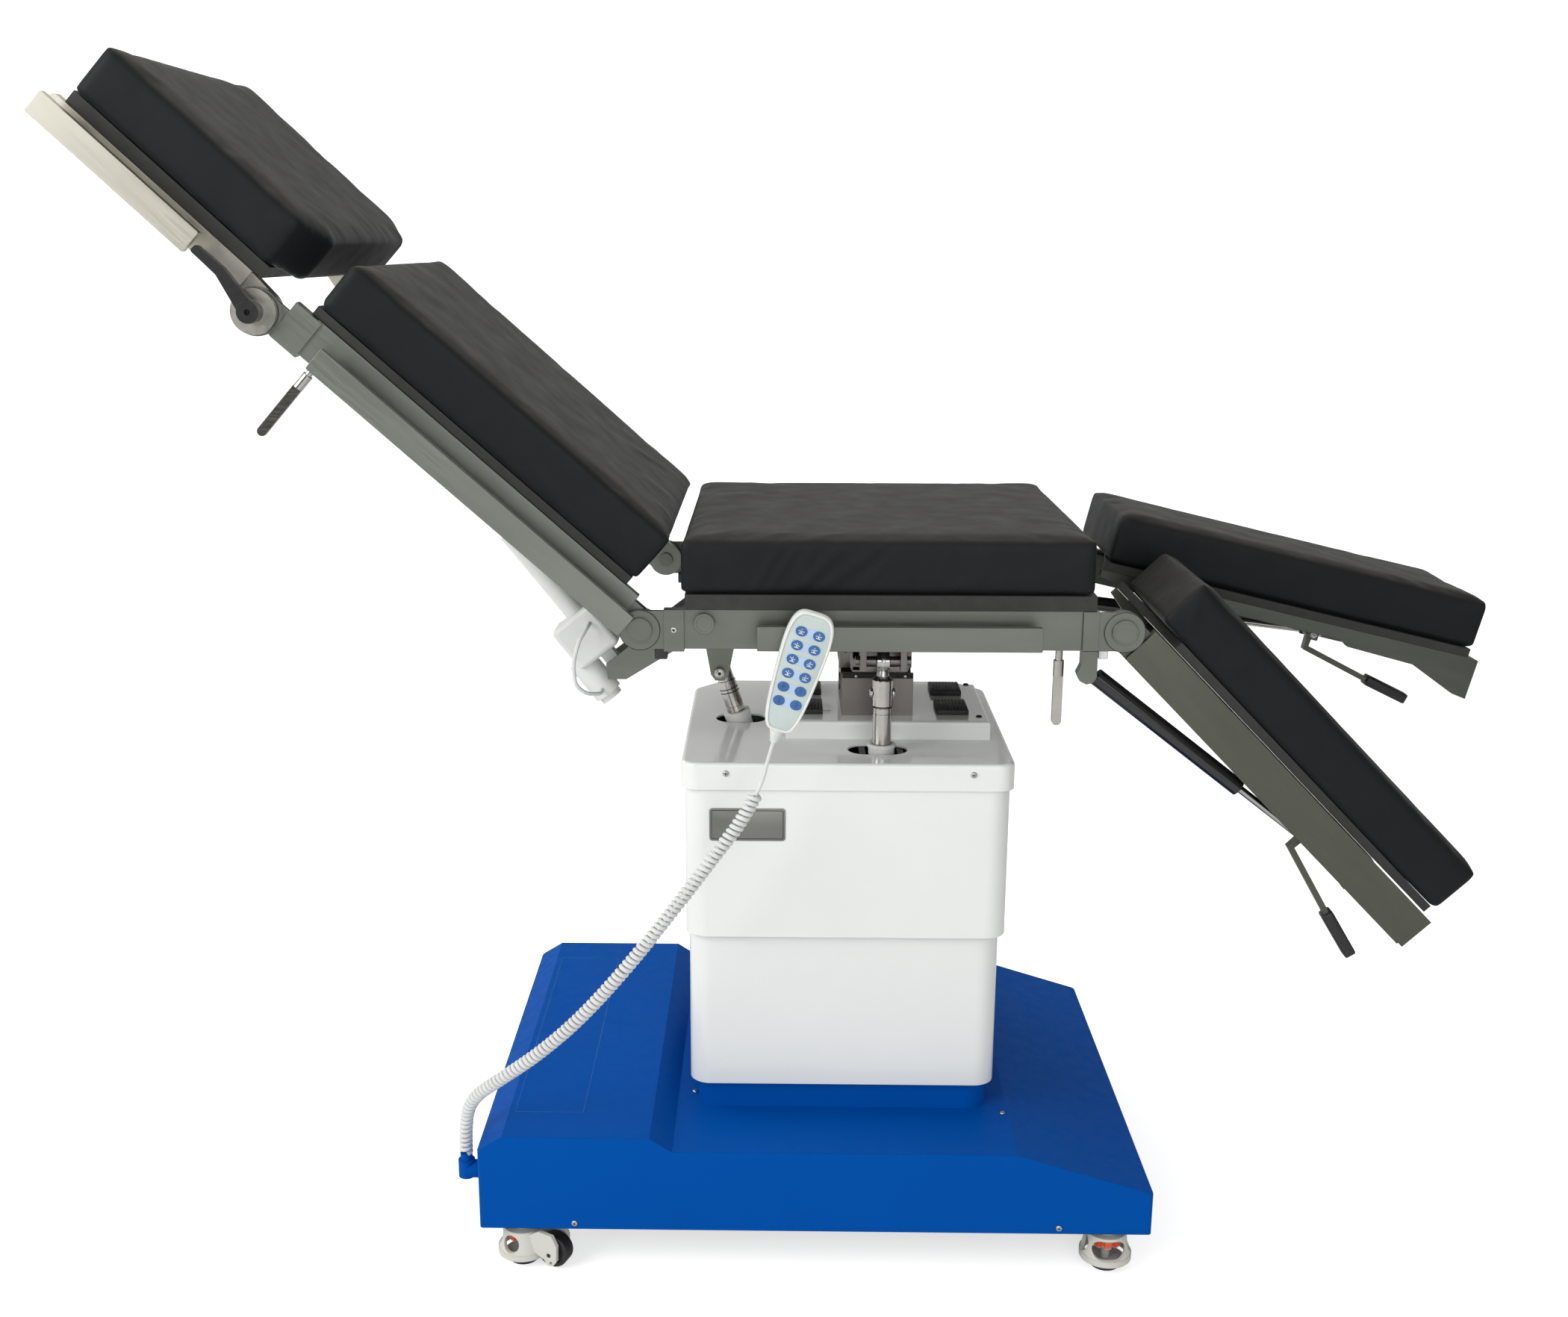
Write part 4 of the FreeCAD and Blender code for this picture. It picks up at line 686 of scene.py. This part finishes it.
def screw(name, place, normal, body, radius, height=2.4, kind="cross", matrix=SEAT, key="zinc"):
    """Round-headed screw sitting on a surface, its cross, slot or hexagon drive a dark mark of painted shade."""
    seat = facing(place, normal, (0.3, 0.1, 1), matrix)
    r, h = radius * MM, height * MM
    head = lathe([(r, -0.0002), (r, h * 0.45), (r * 0.86, h * 0.8), (r * 0.6, h * 0.97), (r * 0.3, h)], 28)
    head.transform(seat)
    mesh_object(name, head, MATERIALS[key], body)
    # Painted shade: the drive is a dark piece laid on the head where the recess would be in shade.
    if kind == "hex":
        mark = prism([(x, y) for x, y, _ in circle(r * 0.45, 0, 6)], h * 0.9, h + 0.00012)
    else:
        lift = Matrix.Translation((0, 0, h * 0.88))
        mark = block((r * 1.1, r * 0.22, h * 0.3), 0, lift)
        if kind == "cross":
            join(mark, block((r * 0.22, r * 1.1, h * 0.3), 0, lift))
    mark.transform(seat)
    mesh_object(name + "_recess", mark, MATERIALS["dark"], body)


def span(low, high):
    """Size of a block between two corners in millimetres, and the matrix that carries it there."""
    low, high = Vector(low), Vector(high)
    return [(b - a) * MM for a, b in zip(low, high)], Matrix.Translation((low + high) / 2 * MM)


def slab(name, low, high, key, body, bevel):
    """Bevelled block between two corners in millimetres."""
    size, place = span(low, high)
    bm = block(size, min([bevel * MM] + [v * 0.45 for v in size]), place)
    return mesh_object(name, bm, MATERIALS[key], body)


def ring(name, place, axis, inner, outer, thick, key, body):
    """Flat ring standing on a surface."""
    r0, r1, t = inner * MM, outer * MM, thick * MM
    bevel = min(t, r1 - r0) * 0.25
    profile = [(r0, 0), (r1, 0), (r1, t - bevel), (r1 - bevel, t), (r0 + bevel, t), (r0, t - bevel)]
    bm = bmesh.new()
    loops = [[bm.verts.new(point) for point in circle(r, h, 40)] for r, h in profile]
    for one, two in zip(loops, loops[1:] + loops[:1]):
        for k in range(len(one)):
            n = (k + 1) % len(one)
            bm.faces.new((one[k], one[n], two[n], two[k]))
    bm.transform(facing(place, axis, (0.1, 1, 0.2)))
    return mesh_object(name, bm, MATERIALS[key], body)


def round_bar(name, start, end, radius, key, body, taper=None):
    """Round bar with broken edges between two points in millimetres."""
    start, end = Vector(start), Vector(end)
    length, r = (end - start).length * MM, radius * MM
    tip = (taper or radius) * MM
    edge = min(0.0006, length * 0.2, tip * 0.3)
    bm = lathe([(r - edge, 0), (r, edge), (tip, length - edge), (tip - edge, length)], 36)
    bm.transform(facing(start, end - start, (0.13, 0.9, 0.2)))
    return mesh_object(name, bm, MATERIALS[key], body)


def rounded(width, height, radius, steps=5):
    """Outline of a rectangle with round corners."""
    points = []
    for cx, cy, start in ((1, 1, 0), (-1, 1, 90), (-1, -1, 180), (1, -1, 270)):
        for k in range(steps + 1):
            turn = math.radians(start + 90 * k / steps)
            points.append((cx * (width / 2 - radius) + radius * math.cos(turn),
                           cy * (height / 2 - radius) + radius * math.sin(turn)))
    return points


def front_plate(name, place, width, height, radius, thick, key, body):
    """Thin plate with round corners on a surface that faces the front, in millimetres."""
    outline = [(x * MM, y * MM) for x, y in rounded(width, height, radius)]
    bm = prism(outline, -0.0001, thick * MM, min(0.0003, thick * MM * 0.3))
    bm.transform(facing(place, FRONT))
    return mesh_object(name, bm, MATERIALS[key], body)


print("fitting helpers ready")

# %% [markdown]
# Base and column: cover screws, a painted highlight along the seam of the removable lid, deck screws, the four
# ribbed bump pads and the bare name plate.

# %% Base and column trim
COVER_SIDE, CAP_SIDE = 314, 213.7
LID_X, LID_Y, LID_Z = (-397, -306), (-247, 253), (193, 193.25)
SEAM = 0.8
DECK_Z = 692
RIBS = 9
PLATE_X, PLATE_Z = -90, 584


def base_trim():
    for side in (-1, 1):
        out = (0, side, 0)
        for k, x in enumerate((-313, 317)):
            screw(f"cover_screw_{k}_{side}", (x, side * COVER_SIDE, 70.5), out, "base", 4.2)
        for k, x in enumerate((-117.5, 198.6)):
            screw(f"cap_screw_{k}_{side}", (x, side * CAP_SIDE, 654), out, "column_head", 4.0)
    for k, (x, y) in enumerate(((253, -204), (-163, -151), (253, 204), (-163, 151))):
        screw(f"deck_screw_{k}", (x, y, 174), UP, "base", 3.6)
    for k, (x, y) in enumerate(((219, 97), (219, -74))):
        screw(f"head_deck_screw_{k}", (x, y, DECK_Z), UP, "column_head", 4.0, 1.8, key="dark")
    # Painted highlight: four thin light blue strips along the seam of the lid.
    (x0, x1), (y0, y1), (z0, z1) = LID_X, LID_Y, LID_Z
    sides = (((x0, y0), (x0 + SEAM, y1)), ((x1 - SEAM, y0), (x1, y1)),
             ((x0, y0), (x1, y0 + SEAM)), ((x0, y1 - SEAM), (x1, y1)))
    for k, (low, high) in enumerate(sides):
        slab(f"lid_seam_highlight_{k}", (*low, z0), (*high, z1), "seam_highlight", "base", bevel=0.05)


def column_trim():
    for k, (x0, x1) in enumerate(((163, 206), (-34, 9))):
        for n, (y0, y1) in enumerate(((33, 86), (-68, -10))):
            name = f"bump_pad_{k}_{n}"
            slab(name, (x0, y0, DECK_Z), (x1, y1, DECK_Z + 7), "rubber", "column_head", bevel=1.2)
            for rib in range(RIBS):
                x = x0 + 3 + (x1 - x0 - 6) * rib / (RIBS - 1)
                slab(f"{name}_rib_{rib}", (x - 1.2, y0 + 1.5, DECK_Z + 6.6), (x + 1.2, y1 - 1.5, DECK_Z + 8),
                     "rubber", "column_head", bevel=0.5)
    for name, y, width, height, radius, thick, key in (
            ("name_plate", -209.7, 98, 44, 4, 0.9, "plate"),
            ("name_plate_line", -210.5, 93, 39, 2, 0.25, "dark"),
            ("name_plate_field", -210.6, 91.6, 37.6, 1.6, 0.3, "plate")):
        front_plate(name, (PLATE_X, y, PLATE_Z), width, height, radius, thick, key, "column_head")


base_trim()
column_trim()
print("trim on base and column")

# %% [markdown]
# Tilting head: a painted shadow on the fold with three screws, the slotted plate behind the rod's eye, the heads
# of the cross pin, painted shade along the cheek's edge, the rods' shoulders, grooves painted as dark rings of
# shade and side screws, and the white guide collars in both slots.

# %% Tilting head and actuators
FOLD_Y, BRACKET_Y, CHEEK_Y = -70.6, -110, -49
BRACKET_X = (46, 119)
SIDE_ROD = (84, -148)
END_FOOT = Vector((-97.4, 0, 640))
END_AXIS = Vector((-33.6, 0, 105)).normalized()
END_LENGTH = 110.24


def head_trim():
    x0, x1 = BRACKET_X
    # Painted shadow: a dark strip on the fold, under the yoke.
    slab("fold_shadow", (34.6, FOLD_Y, 743.5), (129.4, -69.5, 749.9), "dark", "column_head", bevel=0.2)
    for k, x in enumerate((53, 87, 119)):
        screw(f"fold_screw_{k}", (x, FOLD_Y, 746.6), FRONT, "column_head", 2.3, 1.6, "slot")
    for name, low, high in (
            ("yoke_face", (34, CHEEK_Y, 754), (121, -45, 824)),
            ("bracket_leg_0", (x0, BRACKET_Y, 764), (60, -106.5, 800)),
            ("bracket_leg_1", (108, BRACKET_Y, 764), (x1, -106.5, 800)),
            ("bracket_foot", (x0, BRACKET_Y, 762), (x1, -106.5, 770)),
            ("bracket_top", (x0, BRACKET_Y, 779.5), (x1, -106.5, 802))):
        slab(name, low, high, "block_steel", "yoke", bevel=0.8)
    slab("bracket_bar", (60, BRACKET_Y, 773.2), (108, -108, 775.2), "polished", "yoke", bevel=0.6)
    for k, x in enumerate(BRACKET_X):
        slab(f"bracket_side_{k}", (x - 1.6, BRACKET_Y, 764), (x + 1.6, -60, 800), "block_steel", "yoke", 0.8)
    for k, x in enumerate((39, 124)):
        screw(f"cheek_pin_{k}", (x, CHEEK_Y, 778), FRONT, "yoke", 4.2, 4.5, "slot")
    # Painted shade: a dark strip along the edge of the cheek, where the gap is in shade.
    slab("cheek_edge_shade", (121, -46, 754), (125, -44.8, 822), "dark", "yoke", bevel=0.3)


def rod_trim():
    x, y = SIDE_ROD
    rod = "side_actuator_rod"
    ring("side_collar", (x, y, 671.8), UP, 12.6, 18.5, 4.5, "collar", "side_actuator")
    round_bar("side_shoulder", (x, y, 762), (x, y, 768), 13.6, "polished", rod, taper=7.6)
    round_bar("side_sleeve", (x, y, 727.6), (x, y, 762.4), 13.6, "polished", rod)
    # Painted shade: the groove is a thin dark ring.
    ring("side_groove_low", (x, y, 726), UP, 12.4, 13.2, 1.2, "dark", rod)
    for k, side in enumerate((-1, 1)):
        screw(f"side_grub_{k}", (x + side * 13.2, y, 744.5), (side, 0, 0), rod, 6.2, 4, "hex")
    turns = [math.pi * k / 18 for k in range(1, 18)]
    ball = lathe([(0.0125 * math.sin(turn), -0.0125 * math.cos(turn)) for turn in turns], 36)
    ball.transform(Matrix.Translation((x * MM, y * MM, 0.787)) @ Matrix.Diagonal((0.82, 1.0, 1.0, 1.0)))
    mesh_object("side_eye_ball", ball, MATERIALS["zinc"], rod, 60)
    round_bar("side_neck", (x, y, 767), (x, y, 779), 8.2, "zinc", rod, taper=7.0)

    rod = "end_actuator_rod"
    collar, top = END_FOOT + END_AXIS * 26, END_FOOT + END_AXIS * END_LENGTH
    round_bar("end_collar", collar, collar + END_AXIS * 14, 17.6, "collar", "end_actuator", taper=18.6)
    # Painted shade: the grooves are thin dark rings.
    for name, below in (("end_groove", 36), ("end_groove_two", 41)):
        ring(name, top - END_AXIS * below, END_AXIS, 12.3, 13.0, 1.2, "dark", rod)
    round_bar("end_neck", top - END_AXIS * 24, top - END_AXIS * 6, 11.5, "polished", rod)
    for k, side in enumerate((-1, 1)):
        round_bar(f"end_bolt_{k}", (-131, side * 46, 745), (-131, side * 55, 745), 7, "polished", "seat")
        screw(f"end_bolt_face_{k}", (-131, side * 55, 745), (0, side, 0), "seat", 5.6, 1.2, "hex")


head_trim()
rod_trim()
print("tilting head trimmed")

# %% [markdown]
# Hinges and side bars, alike on both sides: rims of the raised buttons with a scribed circle painted as a dark
# ring of shade, the knob's rim, painted shade along the fold and edge of the end brackets, and a pale and a dark
# stop under the hinges.

# %% Hinge and bar trim
BAR_FACE = 250
STOP_Y = (236, 249)


def hinge_trim():
    for side, tag in ((-1, "near"), (1, "far")):
        out = (0, side, 0)
        for name, x in (("back", BACK_HINGE_X), ("leg", LEG_HINGE_X)):
            ring(f"{name}_button_rim_{tag}", (x, side * (BAR_FACE + 5.8), HINGE_Z), out, 13.2, 15.4, 0.8,
                 "seat_steel", "seat")
            # Painted shade: the scribed circle is a thin dark ring.
            ring(f"{name}_scribe_{tag}", (x, side * (BAR_FACE + 2), HINGE_Z), out, 24.6, 25.3, 0.25, "dark",
                 "seat")
        ring(f"knob_rim_{tag}", (-142, side * (BAR_FACE + 8.9), 859), out, 9.5, 12.6, 0.8, "seat_steel", "seat")
        low, high = (side * (BAR_FACE + 3) + half for half in (-0.15, 0.15))
        # Painted shade: thin dark strips along the fold and the edge of the end bracket.
        slab(f"bracket_fold_shade_{tag}", (321.4, low, 825.6), (340.2, high, 826.4), "dark", "seat", bevel=0.05)
        slab(f"bracket_edge_shade_{tag}", (320.6, low, 828), (321.1, high, 873), "dark", "seat", bevel=0.05)
        low, high = sorted(side * y for y in STOP_Y)
        slab(f"leg_stop_{tag}", (342, low, 815), (354, high, 829), "pale_stop", "seat", bevel=1.5)
        slab(f"back_stop_{tag}", (-204, low, 812), (-188, high, 827), "rubber", "seat", bevel=1.5)
        screw(f"end_screw_{tag}", (-179.5, side * (BAR_FACE + 3), 850), out, "seat", 3.6, 1.2, "hex")


hinge_trim()
print("hinges trimmed")

# %% [markdown]
# Legs: a dipped black grip on each release lever, and the slotted heads of the lever's pin.

# %% Leg levers
LEVER_X, LEVER_Z, LEVER_Y = 378, -12, 195
GRIP = ((103, -42), (170, -57.2), (166.8, -72), (100, -57))
GRIP_HALF_WIDTH, PIN_REACH = 11, 20


def leg_trim():
    for tag, matrix, side in (("near", NEAR_LEG, -1), ("far", FAR_LEG, 1)):
        y = side * LEVER_Y
        outline = [((LEVER_X + x) * MM, (LEVER_Z + z) * MM) for x, z in GRIP]
        grip = prism(outline, -(y + GRIP_HALF_WIDTH) * MM, (GRIP_HALF_WIDTH - y) * MM, 0.003)
        grip.transform(matrix @ Matrix.Rotation(math.pi / 2, 4, "X"))
        mesh_object(f"{tag}_lever_grip", grip, MATERIALS["nylon"], f"{tag}_leg_lever")
        for k, out in enumerate((-1, 1)):
            screw(f"{tag}_lever_pin_{k}", (LEVER_X, y + out * PIN_REACH, LEVER_Z), (0, out, 0), f"{tag}_leg",
                  5.5, 2, "slot", matrix)


leg_trim()
print("legs trimmed")

# %% [markdown]
# The handset is made in its own upright frame: a lofted shell with its hook, the face, oval keys on pale bands,
# white pictograms on the upper eight keys, dark characters on the lower four, and a ribbed strain relief.

# %% Handset
HANDSET = Matrix.Translation((-0.0285, -0.291, 0.811)) @ Matrix.Rotation(math.radians(17.5), 4, "Y")
FACE_Y = -21.0
KEY_Y = -22.1
HALF_LENGTH = 76.5
MIDDLE_WIDTH, WIDTH_TAPER, WIDTH_BULGE = 25.4, 4.9, 2.2
OUTLINE_POINTS = 96
SHELL_LAYERS = ((0, 6), (-1.2, 3.4), (-3.6, 1.2), (-7, 0.2), (-11, 0), (-17, 0), (-20, 0.4), (-21.6, 1.2),
                (-22, 2.2), (-21.9, 3.2), (-21.2, 3.9), (-20.4, 4.0))
FACE_LAYERS = ((-20.3, 4.2), (-20.9, 4.2), (FACE_Y, 4.5))
HOOK_BLOCKS = (((-9, -1, 30), (9, 2.5, 59)), ((-9, 1.5, 55.9), (9, 17.2, 59)), ((-9, 16.05, 46), (9, 17.2, 59)))
KEY_ROWS, SIGN_ROWS = 6, 4
KEY_TOP, KEY_PITCH, KEY_SIDE, KEY_DRAW = 51.0, 17.8, 10.9, 0.04
KEY_PROFILE = ((7.15, 0), (7.15, 0.7), (6.8, 1.0), (5.6, 1.1))
SIGN_LEANS = (0.0, 0.0, 0.32, -0.32, 0.7, -0.7, 0.5, -0.5)
RELIEF_RIBS = 9


def handset_ring(inset):
    """Tapered outline with full corners, wider at the top."""
    points = []
    for across, along, _ in circle(1.0, 0, OUTLINE_POINTS):
        power = 2 / (4.0 if along > 0 else 5.0)
        z = math.copysign(abs(along) ** power, along) * (HALF_LENGTH - inset)
        level = z / HALF_LENGTH
        width = MIDDLE_WIDTH + WIDTH_TAPER * level + WIDTH_BULGE * (1 - level * level) - inset
        points.append((math.copysign(abs(across) ** power, across) * width, z))
    return points


def loft(layers):
    """Skin through outlines given as (depth, inset) pairs, back to front."""
    bm = skin([[(x * MM, depth * MM, z * MM) for x, z in handset_ring(inset)] for depth, inset in layers])
    bmesh.ops.recalc_face_normals(bm, faces=bm.faces[:])
    bm.transform(HANDSET)
    return bm


def key_place(row, side):
    """Centre of a key. The two rows of keys draw together a little downwards."""
    return side * (KEY_SIDE - KEY_DRAW * row), KEY_TOP - KEY_PITCH * row


def on_face(x, depth, z):
    return facing((x, depth, z), FRONT, UP, HANDSET)


def handset_body():
    body = loft(SHELL_LAYERS)
    for low, high in HOOK_BLOCKS:
        size, place = span(low, high)
        join(body, block(size, 0.0004, HANDSET @ place))
    shell = mesh_object("handset_body", body, MATERIALS["handset"], "seat", 35)
    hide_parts("handset_shell")
    keys = mesh_object("handset_face", loft(FACE_LAYERS), MATERIALS["face_green"], "seat", 35)
    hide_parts("handset_keypad")
    buttons = bmesh.new()
    for row in range(KEY_ROWS):
        for side in (-1, 1):
            x, z = key_place(row, side)
            key = lathe([(r * MM, h * MM) for r, h in KEY_PROFILE], 40)
            key.transform(on_face(x, FACE_Y, z) @ Matrix.Diagonal((1, 0.86, 1, 1)))
            join(buttons, key)
    mesh_object("handset_keys", buttons, MATERIALS["key_blue"], "seat", 35)


def face_piece(name, pieces, depth, thick, key):
    """Flat prints on the handset's face from outlines in its own upright frame."""
    bm = bmesh.new()
    for outline in pieces:
        join(bm, prism([(x * MM, y * MM) for x, y in outline], 0, thick * MM))
    bm.transform(on_face(0, depth, 0))
    return mesh_object(name, bm, MATERIALS[key], "seat")


def bar_shape(x, y, width, height, turn=0.0):
    points = []
    for dx, dy in ((-1, -1), (1, -1), (1, 1), (-1, 1)):
        px, py = dx * width / 2, dy * height / 2
        points.append((x + px * math.cos(turn) - py * math.sin(turn),
                       y + px * math.sin(turn) + py * math.cos(turn)))
    return points


def table_sign(x, y, kind):
    """Small generic table: a post on a foot, a jointed top that leans by the kind, and a pointer above it."""
    lean = SIGN_LEANS[kind]
    rise = 1.08 * abs(math.tan(lean))
    shapes = [bar_shape(x, y - 2.7, 5.8, 1.0), bar_shape(x, y - 1.5, 1.7, 2.0),
              bar_shape(x - 1.8, y + 0.1 + rise * (lean > 0), 3.9, 0.8, -lean),
              bar_shape(x + 1.8, y + 0.1 + rise * (lean < 0), 3.9, 0.8, -lean if kind in (2, 3) else 0.0)]
    tip = 1 if kind % 2 == 0 else -1
    centre = y + 2.5
    base = centre - tip * 0.6
    shapes.append([(x - 1.0, base), (x + 1.0, base), (x, centre + tip * 0.9)][::tip])
    return shapes


def letter_mesh(text, x, y, size):
    data = bpy.data.curves.new("key_" + text, "FONT")
    data.body = text
    data.size = size * MM
    data.extrude = 0.00006
    data.align_x = data.align_y = "CENTER"
    holder = bpy.data.objects.new("key_" + text, data)
    bpy.context.scene.collection.objects.link(holder)
    mesh = evaluated_mesh(holder)
    bpy.data.objects.remove(holder)
    bm = bmesh.new()
    bm.from_mesh(mesh)
    bm.transform(on_face(x, KEY_Y - 0.1, y))
    return mesh_object("key_mark_" + text, bm, MATERIALS["key_print"], "seat")


def dress_handset():
    handset_body()
    bands, signs = [], []
    for row in range(KEY_ROWS):
        middle = key_place(row, 0)[1]
        width = 37 if row < SIGN_ROWS else 36
        bands.append([(x, middle + y) for x, y in rounded(width, 11.4, 1.6)])
    face_piece("key_bands", bands, FACE_Y, 0.12, "key_band")
    for row in range(SIGN_ROWS):
        for column, side in enumerate((-1, 1)):
            signs += table_sign(*key_place(row, side), 2 * row + column)
    face_piece("key_signs", signs, KEY_Y, 0.10, "pictogram")
    for text, side, row in (("P", -1, 4), ("1", 1, 4), ("2", -1, 5), ("3", 1, 5)):
        letter_mesh(text, *key_place(row, side), 8.2)
    ribs = []
    for k in range(RELIEF_RIBS):
        z, size = -73.4 - 2.2 * k, 10.6 - 0.7 * k
        ribs += [(size - 0.8, z), (size, z - 0.5), (size, z - 1.3), (size - 0.9, z - 1.7)]
    cone = lathe([(r * MM, z * MM) for r, z in reversed(ribs)], 32)
    cone.transform(HANDSET @ Matrix.Translation((0, -0.011, 0)))
    mesh_object("relief_cone", cone, MATERIALS["handset"], "seat", 50)
    print("keys", len(signs), "prints")


dress_handset()

# %% [markdown]
# The five pads. Each starts as a slightly small slab, is remeshed, blown up a little as cloth, kept within a cap,
# and then gets its folds by moving points. A fold is (start, end, width, height) in its section's own frame.

# %% Pads
HALF, MIDDLE_GAP = 260, 20
PAD_THICK, PAD_INSET = 70, 3.0
VOXEL, SWELL_CAP, CLOTH_PRESSURE, CLOTH_FRAMES = 0.006, 0.005, 4.0, 20
SEAT_SIDE = (((-82, 899), (-48, 958), 8, 1.9), ((-65, 898), (-28, 956), 7, 1.7), ((-35, 898), (-10, 950), 7, 1.5),
             ((-31, 897), (28, 957), 9, 2.1), ((-6, 897), (79, 958), 9, 2.0), ((45, 898), (82, 940), 8, 1.3),
             ((150, 897), (190, 915), 8, 0.9), ((-150, 905), (-140, 950), 10, 0.9))
SEAT_TOP = (((-140, -250), (-100, -200), 14, 1.2), ((-90, -252), (-30, -215), 12, 1.2),
            ((-20, -252), (30, -222), 12, 1.0), ((-165, -120), (-100, -40), 22, 1.2),
            ((-165, 60), (-80, 120), 24, 1.1), ((320, -140), (250, -90), 22, 0.9))
BACK_SIDE = (((-253, 79), (-206, 56), 9, 1.6), ((-229, 72), (-176, 54), 8, 1.8), ((-172, 58), (-136, 47), 8, 1.4),
             ((-120, 100), (-70, 60), 10, 1.3), ((-420, 70), (-380, 55), 12, 0.8))
BACK_TOP = (((-158, 67), (-84, 160), 16, 1.5), ((-82, -133), (-45, -156), 16, 1.4),
            ((-120, -60), (-55, -10), 20, 1.1), ((-500, -150), (-440, -60), 26, 0.9))
HEAD_TOP = (((-60, -180), (0, -120), 20, 1.2), ((-70, 60), (0, 30), 24, 1.0))
LEG_SIDE = (((20, 100), (60, 50), 10, 1.2), ((32, 108), (90, 80), 12, 1.0))


def point_array(mesh):
    points = np.empty(len(mesh.vertices) * 3)
    mesh.vertices.foreach_get("co", points)
    return points.reshape(-1, 3)


def pad_slab(outline, low):
    middle = Vector((sum(p[0] for p in outline) / len(outline), sum(p[1] for p in outline) / len(outline)))
    shrunk = []
    for x, y in outline:
        shift = Vector((x, y)) - middle
        shrunk.append(((x - math.copysign(PAD_INSET, shift.x)) * MM, (y - math.copysign(PAD_INSET, shift.y)) * MM))
    return prism(shrunk, (low + 0.6) * MM, (low + PAD_THICK - PAD_INSET) * MM, 0.0045)


def blown(obj):
    """Remesh, inflate as cloth, and keep every point within the cap."""
    remesh = obj.modifiers.new("remesh", "REMESH")
    remesh.mode = "VOXEL"
    remesh.voxel_size = VOXEL
    start = evaluated_mesh(obj)
    obj.modifiers.clear()
    obj.data = start
    rest = point_array(start)
    cloth = obj.modifiers.new("cloth", "CLOTH")
    cloth.settings.use_pressure = True
    cloth.settings.uniform_pressure_force = CLOTH_PRESSURE
    cloth.settings.effector_weights.gravity = 0
    cloth.settings.quality = 4
    cloth.point_cache.frame_start, cloth.point_cache.frame_end = 1, CLOTH_FRAMES
    scene = bpy.context.scene
    for number in range(1, CLOTH_FRAMES + 1):
        scene.frame_set(number)
    shift = point_array(evaluated_mesh(obj)) - rest
    size = np.linalg.norm(shift, axis=1)
    shift *= (np.minimum(size, SWELL_CAP) / np.maximum(size, 1e-9))[:, None]
    obj.modifiers.clear()
    scene.frame_set(1)
    return rest + shift


def crease_rise(points, axes, folds, margin, power):
    """How far each point is raised by folds that run in the plane of two axes."""
    rise = np.zeros(len(points))
    for start, end, width, height in folds:
        run = np.subtract(end, start).astype(float)
        offset = points[:, axes] / MM - start
        along = np.clip(offset @ run / (run @ run), 0, 1)
        away = np.linalg.norm(offset - along[:, None] * run, axis=1) / width
        ends = np.clip(np.sin(np.pi * (margin + (1 - 2 * margin) * along)), 0, 1) ** power
        rise += height * ends * (1.0 - 0.9 * away ** 2) * np.exp(-away ** 2)
    return rise


def press_side(points, folds):
    """Raised creases on the near side face, in (x, z)."""
    share = np.clip((-points[:, 1] / MM - HALF + 14) / 10, 0, 1)
    points[:, 1] -= share * crease_rise(points, (0, 2), folds, 0.08, 0.6) * MM


def press_top(points, folds):
    """Raised creases on the upper face, in (x, y)."""
    share = np.clip((points[:, 2] - points[:, 2].max()) / MM / 10 + 1.4, 0, 1)
    points[:, 2] += share * crease_rise(points, (0, 1), folds, 0.05, 1.0) * MM


def oblong(x0, x1, y0, y1):
    return [(x0, y0), (x1, y0), (x1, y1), (x0, y1)]


def make_pad(body, matrix, outline, low, side_folds=(), top_folds=()):
    obj = mesh_object(f"{body}_cushion", pad_slab(outline, low), MATERIALS["pad"])
    places = blown(obj)
    places[:, 2] = np.maximum(places[:, 2], (low + 0.3) * MM)
    obj.data.vertices.foreach_set("co", places.ravel())
    divide = obj.modifiers.new("divide", "SUBSURF")
    divide.levels = divide.render_levels = 1
    fine = evaluated_mesh(obj)
    obj.modifiers.clear()
    obj.data = fine
    points = point_array(fine)
    press_side(points, side_folds)
    press_top(points, top_folds)
    fine.vertices.foreach_set("co", points.ravel())
    fine.transform(matrix)
    fine.materials.clear()
    fine.materials.append(MATERIALS["pad"])
    fine.shade_smooth()
    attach(obj, body)
    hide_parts(f"{body}_pad")
    print(obj.name, len(fine.vertices), "points")


make_pad("seat", SEAT, oblong(-177, 341, -HALF, HALF), 894.5, SEAT_SIDE, SEAT_TOP)
make_pad("back", BACK, oblong(-543, -38, -HALF, HALF), 43, BACK_SIDE, BACK_TOP)
make_pad("head", HEAD, [(-316, -HALF), (-20, -HALF), (15, -200), (15, 200), (-20, HALF), (-316, HALF)], 50,
         top_folds=HEAD_TOP)
make_pad("near_leg", NEAR_LEG, oblong(13, 553, -HALF, -MIDDLE_GAP), 42, LEG_SIDE)
make_pad("far_leg", FAR_LEG, oblong(13, 553, MIDDLE_GAP, HALF), 42)
